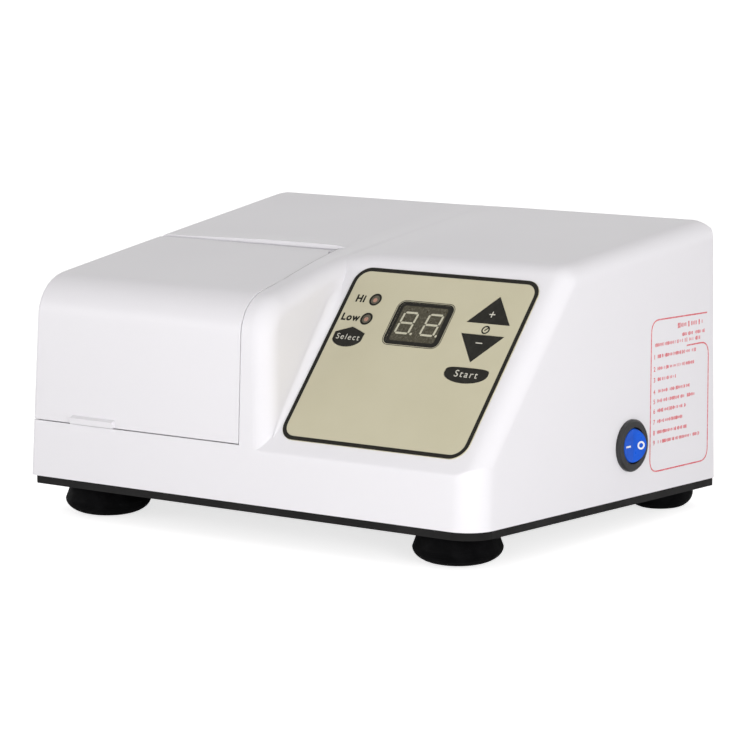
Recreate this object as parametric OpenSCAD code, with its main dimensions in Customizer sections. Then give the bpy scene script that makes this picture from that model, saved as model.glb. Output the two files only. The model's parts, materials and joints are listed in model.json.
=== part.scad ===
// Benchtop capsule mixer for dental amalgam, in millimetres.
// Modules draw in the housing's own frame: its origin is the front left corner of the rim,
// X to the right, Y to the rear, Z up. seat() then stands the mixer centred on the ground.

/* [Housing] */
// Width of the housing at its rim
body_w = 250; // [246:1:262]
// Depth of the housing at its rim
body_d = 183; // [178:1:192]
// Height of the deck above the rim, at the front edge of its plane
front_h = 88.8; // [86:0.2:91]
// Height of the deck above the rim, at the rear
rear_h = 117.6; // [114:0.2:122]
// Thickness of the moulded walls
wall = 2.5; // [2:0.1:3]
// Lean of the front face
front_draft = 2.4; // [1:0.1:3]
// Lean of the left face
left_draft = 1.6; // [1:0.1:2.5]
// Lean of the rear face
rear_draft = 1.5; // [0.5:0.1:2.5]
// Radius of the bend from the front face to the top of the lid
bend_r = 19; // [18:0.5:25]
// Extra height of the deck right of the lid, at the front edge of its plane
right_rise = 7.3; // [6:0.1:8]
// Extra height of the deck at the right face
far_rise = 9.7; // [8.5:0.1:11]
// Radius of the rear top edge
rear_edge_r = 4.5; // [3:0.5:10]
// Radius of the upright edge at the front right
front_right_r = 13; // [10:0.5:15]
// Radius of the right top edge
right_edge_r = 9; // [8:0.5:12]
// Radius of the upright edge at the rear left
rear_left_r = 15; // [12:0.5:17]
// Radius of the upright edge at the rear right
rear_right_r = 1.5; // [1:0.5:6]

/* [Sloped face] */
// Angle of the sloped control face
slope = 50; // [48:0.5:52]
// Height of the lower crease of the sloped face
crease_h = 23.6; // [22:0.1:24.5]
// Radius of the upper crease of the sloped face
crease_r = 13; // [10:0.5:15]
// Width of the control side, from the cheek's foot to the right face
control_w = 110.9; // [110:0.1:112]
// Lean of the cheek
cheek_draft = 2.7; // [2:0.1:3.2]
// Radius of the rounding round the hump's right end
cheek_r = 9; // [7:0.5:10]

/* [Lid] */
// Width of the fixed strip between the lid's upright seam and the cheek's foot
strip_w = 16.7; // [16:0.1:18]
// Height of the lower seam of the lid
seam_z = 25.3; // [25:0.1:27]
// Depth of the deck behind the lid
deck_depth = 94.9; // [93:0.1:97]
// How much the seam turns towards the left, per mm towards the hinge
seam_taper = 0.217; // [0.2:0.001:0.23]
// Gap all round the lid
lid_gap = 0.5; // [0.4:0.05:0.7]
// Radius of the barrel along the lid's rear edge
barrel_r = 2.6; // [2.5:0.05:2.7]
// Radius of the hinge pins
hinge_pin_r = 1; // [0.8:0.05:1.1]
// Width of the finger lip
lip_w = 25; // [18:1:32]
// How far the finger lip stands out
lip_out = 2.2; // [0.8:0.1:2.2]

/* [Base and feet] */
// Thickness of the base plate
base_t = 3.5; // [3:0.1:4]
// Height of the front feet
front_foot_h = 14; // [13:0.1:16]
// Height of the rear feet
rear_foot_h = 9.3; // [9:0.1:12]
// Largest radius of the front feet
front_foot_r = 19.4; // [18:0.1:20]
// Largest radius of the rear feet
rear_foot_r = 15; // [14:0.1:16]
// Distance of the front feet from the sides
front_foot_x = 26; // [24:0.5:28]
// Distance of the front feet from the front
front_foot_y = 23.5; // [22:0.1:26]
// Distance of the rear feet from the sides
rear_foot_x = 19.6; // [18:0.1:22]
// Distance of the rear feet from the rear
rear_foot_y = 15.4; // [15:0.1:20]

/* [Control panel] */
// Width of the membrane panel
panel_w = 99.5; // [99:0.5:101]
// Height of the membrane panel along the slope
panel_h = 90.4; // [90:0.2:91]
// Distance of the membrane panel from the cheek's foot
panel_in = 1.1; // [1:0.1:2]
// Distance of the membrane panel from the lower crease
panel_t = 7.4; // [6:0.1:8]
// Thickness of the membrane panel
panel_thick = 0.5; // [0.4:0.1:0.8]
// Corner radius of the membrane panel
panel_r = 8; // [6:0.5:10]
// Travel of a key
key_travel = 0.4; // [0.3:0.1:0.5]
// Gap round a key
key_gap = 0.2; // [0.15:0.05:0.3]
// Depth of the control board below the sloped face
board_depth = 14; // [13:0.5:16]

/* [Power switch and back panel] */
// Distance of the rocker switch from the rear
switch_back = 68.4; // [63:0.1:71]
// Height of the rocker switch over the rim
switch_z = 23.2; // [22:0.1:26]
// Radius of the switch's bezel
bezel_r = 11.5; // [11:0.1:12]
// Angle that the rocker tips through
rocker_tip = 24; // [20:1:26]
// Distance of the power inlet from the right
inlet_in = 44; // [38:1:46]
// Height of the power inlet and the fuse holder over the rim
inlet_z = 38; // [36:1:44]
// Distance of the fuse holder from the power inlet
fuse_apart = 48; // [42:1:54]

/* [Shaker] */
// Distance of the shaking arm from the chamber's middle, to the right
arm_offset = 0.9; // [0:0.1:2]
// Distance of the motor shaft from the rear
shaft_back = 61; // [59:1:63]
// Height of the motor shaft over the rim
shaft_z = 58; // [56:1:60]
// Tilt of the journal on the motor shaft
wobble = 5.7; // [4:0.1:6]
// Distance of the capsule from the motor shaft
arm_len = 80; // [78:1:81]
// Length of the capsule between the clips
capsule_len = 32; // [28:1:36]
// Radius of the journal on the motor shaft
journal_r = 5; // [4.5:0.1:5.5]
// Outer radius of the bearing on the journal
bearing_r = 11; // [10.5:0.1:11.5]
// Radius of the motor
motor_r = 26; // [24:0.5:28]
// Length of the motor
motor_len = 58; // [54:1:62]

/* [Hidden] */
$fn = 64;

WHITE = "whitesmoke";
BLACK = "#1c1c1e";
STEEL = "silver";

// Places that follow from the sizes above
cheek_x = body_w - control_w;
seam_x = cheek_x - strip_w;
hinge_seam_y = body_d - deck_depth;
panel_x = cheek_x + panel_in;
switch_y = body_d - switch_back;
inlet_x = body_w - inlet_in;
fuse_x = inlet_x - fuse_apart;
shaft_y = body_d - shaft_back;

// The front feet are the taller ones, so the mixer leans back a little on level ground.
tread_pitch = body_d - rear_foot_y - front_foot_y;
lean = atan((front_foot_h - rear_foot_h) / tread_pitch);
rim_z = front_foot_y * sin(lean) + (front_foot_h + base_t) * cos(lean);
fuse_proud = 8;
fuse_cap_r = 6.4;
rocker_proud = 4.6;
rear_y = body_d - inlet_z * tan(rear_draft);
part_w = body_w + rocker_proud;
part_d = (rear_y + fuse_proud) * cos(lean) + (inlet_z + fuse_cap_r) * sin(lean);

module seat() {
    translate([-part_w / 2, -part_d / 2, rim_z]) rotate([-lean, 0, 0]) children();
}
// The ground, seen from the housing's own frame
module ground() {
    rotate([lean, 0, 0]) translate([-body_w, -body_d, -rim_z - 20]) cube([3 * body_w, 3 * body_d, 20]);
}

// Outer form of the housing
// A side profile in YZ is a chain of lines [y, z, angle], each corner between them rounded.
// It is laid down at stations along X, drawn in at the ends so that every edge is rounded.

ARC = 7;
hump_level_x = seam_x - 13.4;
rise_full_x = cheek_x + 7.9;
bend_y = 25;
crown_y = hinge_seam_y - 22.1;
crown_r = 200;
crown_kink = 0.3;
overlap_sink = 0.02;
joint_x = seam_x + 1.6;
front_crease_r = 3;

function normal(a) = [sin(a), -cos(a)];
function meet(l1, l2, d1, d2) =
    let (n1 = normal(l1[2]), n2 = normal(l2[2]),
         c1 = n1 * [l1[0], l1[1]] + d1, c2 = n2 * [l2[0], l2[1]] + d2,
         det = n1[0] * n2[1] - n1[1] * n2[0])
    [(c1 * n2[1] - c2 * n1[1]) / det, (n1[0] * c2 - n2[0] * c1) / det];
function corner(l1, l2, d1, d2, r) =
    let (rho = max(r - max(d1, d2), 0.3), c = meet(l1, l2, d1 + rho, d2 + rho))
    [for (k = [0 : ARC]) c - rho * normal(l1[2] + (l2[2] - l1[2]) * k / ARC)];

function rise(x) = x <= hump_level_x ? 0
    : x <= rise_full_x ? right_rise * (x - hump_level_x) / (rise_full_x - hump_level_x)
    : right_rise + (far_rise - right_rise) * (x - rise_full_x) / (body_w - rise_full_x);
function deck_z(x, y) = front_h + (rear_h - front_h) * y / body_d + rise(x) * (1 - y / body_d);
function level_z(y) = deck_z(0, y);
function deck_angle(x) = atan((rear_h - front_h - rise(x)) / body_d);
front_y = function (z) z * tan(front_draft);

FRONT_LINE = [0, 0, 90 - front_draft];
REAR_LINE = [body_d, 0, rear_draft - 90];
SLOPE_LINE = [front_y(crease_h), crease_h, slope];
function deck_line(x) = [body_d, rear_h, deck_angle(x)];
function crown_line(x) = [crown_y, deck_z(x, crown_y),
    crown_kink + atan((deck_z(x, crown_y) - level_z(bend_y)) / (crown_y - bend_y))];

// The hump goes over the chamber, the wedge carries the sloped face.
function hump_lines(x) = [FRONT_LINE, crown_line(x), deck_line(x), REAR_LINE];
function wedge_lines(x) = [FRONT_LINE, SLOPE_LINE, deck_line(x), REAR_LINE];
HUMP_R = [bend_r, crown_r, rear_edge_r];
WEDGE_R = [front_crease_r, crease_r, rear_edge_r];

function profile(lines, radii, d, z0) =
    let (bottom = [0, z0, 180])
    concat([meet(bottom, lines[0], 0, d[0])],
        [for (i = [0 : 2]) each corner(lines[i], lines[i + 1], d[i], d[i + 1], radii[i])],
        [meet(lines[3], bottom, d[3], 0)]);

// How far a rounded edge of radius r draws in, at a distance s from the end face
function draw_in(s, r) = s >= r ? 0 : r - sqrt(r * r - (r - s) * (r - s));
function insets(s, radii, w) = [for (r = radii) w + draw_in(max(s, 0), max(r - w, 0.6))];
function both(a, b) = [for (i = [0 : 3]) max(a[i], b[i])];

module loft(rings) {
    n = len(rings[0]);
    m = len(rings);
    side = [for (i = [0 : m - 2], k = [0 : n - 1])
        each [[i * n + k, i * n + (k + 1) % n, (i + 1) * n + k],
            [i * n + (k + 1) % n, (i + 1) * n + (k + 1) % n, (i + 1) * n + k]]];
    polyhedron([for (ring = rings) each ring],
        concat([[for (k = [n - 1 : -1 : 0]) k]], side, [[for (k = [0 : n - 1]) (m - 1) * n + k]]));
}

LEFT_R = [1.5, 2.5, 2.5, rear_left_r];
RIGHT_R = [front_right_r, right_edge_r - 1, right_edge_r, rear_right_r];
CHEEK_R = [cheek_r, cheek_r, cheek_r, cheek_r];
CAP = 10;
function cap_steps(r) = [for (k = [0 : CAP]) r * (1 - cos(90 * k / CAP))];

// A station stands at x on the rim's plane and tilts with height.
function hump_ring(x, tilt, w, z0, crowned, sl, sr) =
    let (d = both(insets(sl, LEFT_R, w), insets(sr, CHEEK_R, w)),
         p = profile(hump_lines(crowned ? x : 0), HUMP_R, d, z0))
    [for (q = p) [x + tilt * q[1], q[0], q[1]]];

// w is the depth below the outer surface, x1 the right end at the rim's plane.
module hump(w, z0 = 0, crowned = true, x1 = cheek_x, round_end = true) {
    left_tilt = tan(left_draft);
    right_tilt = round_end ? -tan(cheek_draft) : 0;
    lefts = [for (s = cap_steps(rear_left_r - w)) s];
    rights = round_end ? [for (k = [CAP : -1 : 0]) cap_steps(cheek_r - w)[k]] : [0];
    middle = [hump_level_x * 0.37, hump_level_x * 0.73, hump_level_x, hump_level_x + 5, hump_level_x + 10];
    loft(concat(
        [for (s = lefts) hump_ring(w + s, left_tilt, w, z0, crowned, s, 50)],
        [for (x = middle) hump_ring(x, x < hump_level_x / 2 ? left_tilt : 0, w, z0, crowned, 50, 50)],
        [for (s = rights) hump_ring(x1 - w - s, right_tilt, w, z0, crowned, 50,
            round_end ? s : 50)]));
}

module wedge(w, z0 = 0, x0 = joint_x) {
    sunk = function (x) overlap_sink * max(0, cheek_x - x) / (cheek_x - x0);
    function ring(x, sr) =
        let (d = insets(sr, RIGHT_R, w + sunk(x)))
        [for (q = profile(wedge_lines(x), WEDGE_R, d, z0)) [x, q[0], q[1]]];
    loft(concat(
        [for (x = [x0, x0 + 5, x0 + 10, cheek_x, rise_full_x, rise_full_x + 43, rise_full_x + 73])
            ring(x, 50)],
        [for (k = [CAP : -1 : 0]) ring(body_w - w - cap_steps(front_right_r - w)[k],
            cap_steps(front_right_r - w)[k])]));
}

// Seam of the lid in plan, drawn in by a gap
seam_turn_y = 14;
seam_turn = 20;
cut_past = 10;
corner_in = 0.3;
corner_run = 1.4;
function seam_at(y) = y <= seam_turn_y ? seam_x
    : y <= seam_turn_y + seam_turn ? seam_x - seam_taper * pow(y - seam_turn_y, 2) / (2 * seam_turn)
    : seam_x - seam_taper * (y - seam_turn_y - seam_turn / 2);
// At its rear end the lid's edge turns straight back, clear of the deck as the lid swings.
module lid_space(gap, y1 = hinge_seam_y, ease = 0) {
    bend = [for (k = [0 : 5]) seam_turn_y + seam_turn * k / 5];
    edge = [for (y = concat([-cut_past], bend, [y1 - gap - corner_run * ease])) [seam_at(y) - gap, y]];
    straight_x = seam_at(y1) - gap - (ease > 0 ? corner_in : 0);
    translate([0, 0, seam_z + gap]) linear_extrude(front_h + right_rise)
        polygon(concat(edge, [[straight_x, y1 - gap - ease], [straight_x, y1 - gap],
            [-cut_past, y1 - gap], [-cut_past, -cut_past]]));
}

// Hinge of the lid
skin_over_axis = barrel_r + 0.3;
hinge_y = hinge_seam_y - lid_gap - skin_over_axis;
hinge_z = level_z(hinge_y) - skin_over_axis / cos(deck_angle(0));
barrel_x0 = 5.2;
barrel_x1 = seam_x - 17.4;
lug_w = 7;
lug_in = 11;
lug_x = [barrel_x0 + lug_in - 0.2, barrel_x1 - lug_in - 8];
lug_gap = 0.5;
lug_r = 1.9;

module along_x(x0, x1, y, z, r) {
    translate([x0, y, z]) rotate([0, 90, 0]) cylinder(h = x1 - x0, r = r);
}

// Places on the faces: Z of each frame points out of the housing.
module on_slope(x, t) {
    translate([x, front_y(crease_h) + t * cos(slope), crease_h + t * sin(slope)])
        rotate([slope, 0, 0]) children();
}
module on_panel(u = 0, v = 0) {
    on_slope(panel_x + u, panel_t + v) children();
}
module on_right(y, z) {
    translate([body_w, y, z]) rotate([90, 0, 90]) children();
}
module on_rear(x) {
    translate([x, rear_y, inlet_z]) rotate([rear_draft - 90, 0, 0])
        mirror([0, 1, 0]) children();
}

module rounded(w, h, r) {
    for (x = [r, w - r], y = [r, h - r]) translate([x, y]) circle(r);
    translate([r, 0]) square([w - 2 * r, h]);
    translate([0, r]) square([w, h - 2 * r]);
}

// Shapes on the membrane panel, in its own frame
window_u = 32;
window_v = 53;
window_w = 27.2;
window_h = 21.1;
window_r = 2.5;
led_u = 16.9;
led_v = [63.9, 74];
led_r = 2.6;
arrow_u = panel_w - 18.7;
arrow_w = 22.2;
arrow_h = 13.6;
up_v = 67.3;
down_v = 61.3;
select_at = [11.6, 54];
start_at = [panel_w - 18.1, 44.5];

module arrow_up(gap) {
    reach = arrow_w / 2 + gap * 1.9;
    translate([arrow_u, up_v])
        polygon([[-reach, -gap], [reach, -gap], [0, arrow_h + gap * 1.9]]);
}
module arrow_down(gap) {
    translate([0, up_v + down_v]) mirror([0, 1]) arrow_up(gap);
}
module select_shape(gap) {
    g = gap;
    bow = [for (k = [0 : 10]) let (a = 200 + 14 * k) [(8.2 + g) * cos(a), (5 + g) * sin(a)]];
    translate(select_at)
        polygon(concat([[8 + g, 2.4 + g / 2], [0.2, 5.2 + g], [-7.9 - g, 2.1 + g / 2]], bow));
}
start_w = 22.6;
start_h = 7.6;
start_shoulder = 3;
// A flat top with round shoulders over a bowed bottom
module start_shape(gap) {
    half = start_w / 2 + gap;
    top = start_shoulder + gap;
    sag = start_h - start_shoulder + gap;
    square_up = 0.45;
    translate([start_at[0], start_at[1] - start_shoulder]) polygon(concat(
        [for (k = [0 : 12]) let (a = 15 * k)
            [half * sign(cos(a)) * pow(abs(cos(a)), square_up), top * pow(sin(a), square_up)]],
        [for (k = [1 : 11]) let (a = 180 + 15 * k) [half * cos(a), sag * sin(a)]]));
}

module key_shape(which, gap) {
    if (which == "up") arrow_up(gap);
    if (which == "down") arrow_down(gap);
    if (which == "select") select_shape(gap);
    if (which == "start") start_shape(gap);
}
KEYS = ["up", "down", "select", "start"];
function stem_at(which) = which == "up" ? [arrow_u, up_v + arrow_h / 3]
    : which == "down" ? [arrow_u, down_v - arrow_h / 3]
    : which == "select" ? select_at : [start_at[0], start_at[1] - start_h / 2];

switch_h = 5;
switch_floor = 1.5;
stem_r = 1.8;
module key(which) {
    on_panel() linear_extrude(panel_thick) key_shape(which, 0);
    stem_len = board_depth - switch_floor - key_travel - 0.1;
    on_panel(stem_at(which)[0], stem_at(which)[1]) translate([0, 0, -stem_len])
        cylinder(h = stem_len + 0.1, r = stem_r);
}

// Screw posts of the housing, by the walls
post_r = 4.5;
post_h = 19;
post_in = 6.6;
POSTS = [[seam_x / 2, post_in], [body_w - 50, post_in], [body_w - post_in, body_d - 33],
    [post_in, body_d - 73]];
cover_screw_r = 1.5;

board_x = panel_x + 3.8;
board_w = panel_w - 7.5;
board_t0 = panel_t + 4.6;
board_h = panel_h - 10.4;
board_t = 1.6;
standoff_r = 3;
standoff_in = 5;
chip = [34, 12, 3];
buzzer_h = 12;
buzzer_in = 20;
STANDOFFS = [for (u = [standoff_in, board_w - standoff_in], v = [standoff_in - 1, board_h - standoff_in - 1])
    [board_x + u, board_t0 + v]];

bezel_body_r = 9.8;
switch_hole_gap = 0.3;
inlet_w = 27;
inlet_h = 20;
inlet_flange_w = 50;
inlet_flange_h = 23;
fuse_hole_r = 6.2;
deck_chamfer = [0.5, 1.7];

module cover() {
    color(WHITE) difference() {
        union() {
            difference() {
                union() {
                    hump(0);
                    wedge(0);
                }
                hump(wall, -1, true);
                wedge(wall, -1, joint_x - 12);
            }
            for (p = POSTS) translate([p[0], p[1], 0]) cylinder(h = post_h, r = post_r);
        }
        lid_space(0);
        hull() {
            for (e = [0, 1]) {
                x = [-2, seam_at(hinge_seam_y) + 2][e];
                c = deck_chamfer[e];
                translate([x, hinge_seam_y, level_z(hinge_seam_y)]) rotate([90, 0, 90])
                    linear_extrude(0.01) polygon([[-1, -c], [0, -c], [c, c * 0.3], [c, 4], [-1, 4]]);
            }
        }
        for (p = POSTS) translate([p[0], p[1], -1])
            cylinder(h = post_h - 4, r = cover_screw_r - 0.3);
        on_panel() translate([0, 0, -wall - 3]) linear_extrude(wall + 6) {
            for (k = KEYS) key_shape(k, key_gap);
            translate([window_u + 1, window_v + 1]) square([window_w - 2, window_h - 2]);
        }
        for (v = led_v) on_panel(led_u, v) translate([0, 0, -wall - 3])
            cylinder(h = wall + 6, r = led_r + key_gap);
        on_right(switch_y, switch_z) translate([0, 0, -wall - 2])
            cylinder(h = wall + 4, r = bezel_body_r + switch_hole_gap);
        on_rear(inlet_x) translate([-inlet_w / 2 - 0.3, -inlet_h / 2 - 0.3, -wall - 3])
            cube([inlet_w + 0.6, inlet_h + 0.6, wall + 6]);
        for (x = [-inlet_screw_u, inlet_screw_u]) on_rear(inlet_x + x) translate([0, 0, -wall - 3])
            cylinder(h = wall + 6, r = inlet_screw_r + 0.1);
        on_rear(fuse_x) translate([0, 0, -wall - 3]) cylinder(h = wall + 6, r = fuse_hole_r + 0.2);
    }
}

lip_x = 25;
lip_h = 4;
lip_t = 2.6;
lip_root = 0.6;
slot_reach = 12;
slot_rear_h = 1.4;
lid_corner_ease = 6;
// The lid's rear edge is round about the hinge, so that it turns clear of the deck.
module lid_rear_limit() {
    translate([-cut_past, -cut_past, 0]) {
        cube([body_w, hinge_y + cut_past, body_d]);
        cube([body_w, body_d, hinge_z]);
    }
    along_x(-cut_past, body_w, hinge_y, hinge_z, skin_over_axis);
}
module lid() {
    color(WHITE) difference() {
        union() {
            intersection() {
                difference() {
                    hump(0, 0, false, joint_x, false);
                    hump(wall, -1, false, joint_x + wall, false);
                }
                lid_space(lid_gap, hinge_seam_y, lid_corner_ease);
                lid_rear_limit();
            }
            along_x(barrel_x0, barrel_x1, hinge_y, hinge_z, barrel_r);
            translate([lip_x, front_y(seam_z) + 0.4, seam_z + lid_gap]) rotate([90, 0, 90])
                linear_extrude(lip_w)
                    polygon([[lip_root, 0], [-lip_out, 0], [-lip_out, lip_t], [lip_root, lip_h]]);
        }
        along_x(barrel_x0 - 1, barrel_x1 + 1, hinge_y, hinge_z, hinge_pin_r + 0.05);
        for (x = lug_x) translate([x - lug_gap, hinge_y, hinge_z]) {
            w = lug_w + 2 * lug_gap;
            translate([0, -slot_reach, -slot_reach]) cube([w, 2 * slot_reach, slot_reach + 0.5]);
            cube([w, slot_reach, slot_rear_h]);
            along_x(0, w, 0, 0, lug_r + 0.3);
        }
    }
}

base_in = 0.4;
corner_cut = 3.6;
vents = 8;
vent_w = 3;
vent_len = 36;
vent_in = 8;
screw_recess = 2.2;
module base_plate() {
    w = body_w - base_in;
    d = body_d - base_in;
    r = front_right_r;
    q = rear_right_r;
    color(BLACK) difference() {
        translate([0, 0, -base_t]) linear_extrude(base_t) difference() {
            union() {
                polygon([[base_in, corner_cut], [corner_cut, base_in], [w - r, base_in], [w, r],
                    [w, d - q], [w - q, d], [rear_left_r, d], [base_in, d - rear_left_r]]);
                translate([w - r, r + base_in]) circle(r - 0.01);
                translate([w - q, d - q]) circle(q);
                translate([rear_left_r + base_in, d - rear_left_r]) circle(rear_left_r);
            }
            for (k = [0 : vents - 1])
                translate([motor_x + vent_in + k * 2.5 * vent_w, shaft_y - vent_len / 2])
                    square([vent_w, vent_len]);
        }
        for (p = POSTS) translate([p[0], p[1], -base_t - 1]) {
            cylinder(h = base_t + 2, r = cover_screw_r + 0.2);
            cylinder(h = 1 + screw_recess, r = 3.3);
        }
        for (p = FEET) translate([p[0], p[1], -base_t - 1]) cylinder(h = base_t + 2, r = foot_screw_r + 0.1);
    }
}

FRONT_FEET = [[front_foot_x, front_foot_y], [body_w - front_foot_x, front_foot_y]];
REAR_FEET = [[rear_foot_x, body_d - rear_foot_y], [body_w - rear_foot_x, body_d - rear_foot_y]];
FEET = concat(FRONT_FEET, REAR_FEET);
foot_screw_r = 1.5;
foot_bore_r = 3.8;
foot_floor = 4;
tread_r = 6.5;
bowl_h = 7.2;
tread_spare = 0.4;

// A rubber foot flares to its widest ring, then rounds in to a flat tread on the ground.
module foot(r, h, top_r) {
    translate([0, 0, -base_t]) rotate_extrude() difference() {
        polygon(concat([[foot_screw_r + 0.1, 0], [foot_screw_r + 0.1, -h - tread_spare]],
            [for (a = [0 : 10 : 90]) [tread_r + (r - tread_r) * sin(a),
                -h - tread_spare + bowl_h * (1 - cos(a))]],
            [[top_r, 0]]));
        translate([0, -h - 1]) square([foot_bore_r, h + 1 - foot_floor]);
    }
}
module feet(places, r, h, top_r) {
    difference() {
        for (p = places) translate([p[0], p[1], 0]) foot(r, h, top_r);
        ground();
    }
}
module front_feet() {
    color(BLACK) feet(FRONT_FEET, front_foot_r, front_foot_h, front_foot_r - 2.6);
}
module rear_feet() {
    color(BLACK) feet(REAR_FEET, rear_foot_r, rear_foot_h, rear_foot_r - 0.4);
}
// Pan head with a cross slot, its shank going up from the seat at z = 0
module pan_screw(head_r, head_h, r, length) {
    difference() {
        union() {
            translate([0, 0, -head_h]) cylinder(h = head_h, r1 = head_r * 0.8, r2 = head_r);
            cylinder(h = length, r = r);
        }
        for (a = [0, 90]) rotate([0, 0, a]) translate([-head_r * 0.55, -0.4, -head_h - 1])
            cube([head_r * 1.1, 0.8, head_h * 0.5 + 1]);
    }
}
nut_h = 3;
module foot_screws() {
    color(STEEL) for (p = FEET) translate([p[0], p[1], -base_t - foot_floor]) {
        pan_screw(3.2, 2, foot_screw_r, foot_floor + base_t + nut_h + 1);
        translate([0, 0, foot_floor + base_t]) cylinder(h = nut_h, r = 3.2, $fn = 6);
    }
}
module cover_screws() {
    color(STEEL) for (p = POSTS) translate([p[0], p[1], screw_recess - base_t])
        pan_screw(3, 2, cover_screw_r - 0.35, 14);
}

// Tub round the capsule: floor, back wall, side walls and a shoulder under the seam
tub_gap = 0.6;
tub_t = 2.2;
tub_floor_z = 20;
tub_in = wall + tub_gap;
tub_left_x = 6.2;
tub_right_x = seam_x - 18.4;
tub_back_y = hinge_seam_y - 12.1;
shoulder_x = seam_x + 3.6;
shoulder_h = 8;
curb_h = 2;
curb_t = tub_t + 1.5;
tub_top = 2 * front_h;
leg_left = 18;
leg_front = 16;
leg_in = 12;
leg_r = 4;
arm_slot_w = 24;
arm_slot_h = 22;
plunger_x = tub_right_x + tub_t + 4;
plunger_y = tub_back_y - 24;
plunger_r = 1.6;
module tub_profile(d) {
    all = [0, 0, 0, 0];
    polygon(profile(hump_lines(0), HUMP_R, [for (a = all) d], tub_floor_z));
}
module yz_slab(x0, x1) {
    translate([x0, 0, 0]) rotate([90, 0, 90]) linear_extrude(x1 - x0) children();
}
module chamber_liner() {
    depth = tub_back_y + tub_t;
    curb_z = seam_z - tub_floor_z + curb_h;
    color("lightgray") difference() {
        union() {
            yz_slab(tub_right_x, tub_right_x + tub_t) intersection() {
                tub_profile(tub_in);
                square([depth, tub_top]);
            }
            yz_slab(tub_right_x, shoulder_x) intersection() {
                difference() {
                    tub_profile(tub_in);
                    tub_profile(tub_in + tub_t);
                }
                translate([0, tub_floor_z + shoulder_h]) square([depth, tub_top]);
            }
            yz_slab(tub_left_x, tub_right_x + tub_t) {
                intersection() {
                    tub_profile(tub_in);
                    translate([0, tub_floor_z]) square([depth, tub_t]);
                }
                intersection() {
                    tub_profile(tub_in);
                    translate([tub_back_y, tub_floor_z]) square([tub_t, tub_top]);
                }
                intersection() {
                    tub_profile(tub_in);
                    translate([0, tub_floor_z]) square([tub_in + curb_t, curb_z]);
                }
            }
            yz_slab(tub_left_x, tub_left_x + tub_t) intersection() {
                tub_profile(tub_in);
                translate([0, tub_floor_z]) square([depth, curb_z]);
            }
            for (x = [leg_left, tub_right_x - leg_in], y = [leg_front, tub_back_y - leg_in + 2])
                translate([x, y, 0]) cylinder(h = tub_floor_z + 0.1, r = leg_r);
        }
        translate([arm_x - arm_slot_w / 2, tub_back_y - 1, shaft_z - arm_slot_h / 2])
            cube([arm_slot_w, tub_t + 2, arm_slot_h]);
        translate([plunger_x, plunger_y, shaft_z + 2]) cylinder(h = shaft_z, r = plunger_r + 0.2);
        for (x = lug_x, z = bracket_holes) translate([x + lug_w / 2, tub_back_y - 1, z])
            rotate([-90, 0, 0]) cylinder(h = tub_t + 2, r = bracket_hole_r);
    }
}

bracket_t = 3;
bracket_h = 22;
bracket_down = 26;
bracket_hole_r = 1.3;
bracket_holes = [hinge_z - bracket_down + 4, hinge_z - bracket_down + 14];
pin_past = 9;
module hinge_brackets() {
    back = tub_back_y + tub_t;
    color(STEEL) for (x = lug_x) difference() {
        union() {
            translate([x, back, hinge_z - bracket_down]) cube([lug_w, bracket_t, bracket_h]);
            yz_slab(x, x + lug_w) polygon([[back, hinge_z - 9], [back + bracket_t, hinge_z - 9],
                [hinge_y + lug_r * 0.05, hinge_z - lug_r * 0.95],
                [hinge_y - lug_r * 0.9, hinge_z + lug_r * 0.4], [back, hinge_z - 4.5]]);
            along_x(x, x + lug_w, hinge_y, hinge_z, lug_r);
        }
        along_x(x - 1, x + lug_w + 1, hinge_y, hinge_z, hinge_pin_r + 0.01);
        for (z = bracket_holes) translate([x + lug_w / 2, back - 1, z])
            rotate([-90, 0, 0]) cylinder(h = bracket_t + 2, r = bracket_hole_r);
    }
}
module hinge_pins() {
    color(STEEL) for (x = lug_x)
        along_x(x - pin_past, x + lug_w + pin_past, hinge_y, hinge_z, hinge_pin_r);
}
module hinge_screws() {
    back = tub_back_y + tub_t + bracket_t;
    color(STEEL) for (x = lug_x, z = bracket_holes) translate([x + lug_w / 2, back, z])
        rotate([90, 0, 0]) pan_screw(2.4, 1.6, bracket_hole_r - 0.05, bracket_t + tub_t);
}

module control_overlay() {
    color("#c4c0a3") on_panel() linear_extrude(panel_thick) difference() {
        rounded(panel_w, panel_h, panel_r);
        for (k = KEYS) key_shape(k, key_gap);
        translate([window_u, window_v]) rounded(window_w, window_h, window_r);
        for (v = led_v) translate([led_u, v]) circle(led_r + 0.1);
    }
}
module display_window() {
    color("#464232") on_panel() linear_extrude(panel_thick - 0.1)
        translate([window_u, window_v]) rounded(window_w, window_h, window_r);
}
display_h = 11;
module display_module() {
    color("#2a2a26") on_panel(window_u + 1.3, window_v + 1.3) translate([0, 0, -display_h])
        cube([window_w - 2.6, window_h - 2.6, display_h]);
    color(STEEL) for (i = [0 : 4], v = [0, 1])
        on_panel(window_u + 4 + i * 4.8, window_v + 4 + v * (window_h - 8))
            translate([0, 0, -board_depth]) cylinder(h = board_depth - display_h + 0.1, r = 0.3);
}
module led_lenses() {
    color("#8a5a34") for (v = led_v) on_panel(led_u, v) {
        translate([0, 0, -board_depth]) cylinder(h = board_depth - 3, r = 1.4);
        translate([0, 0, -4]) cylinder(h = 4 + panel_thick - 0.1, r = led_r);
    }
}
module key_up() color(BLACK) key("up");
module key_down() color(BLACK) key("down");
module key_select() color(BLACK) key("select");
module key_start() color(BLACK) key("start");

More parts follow.
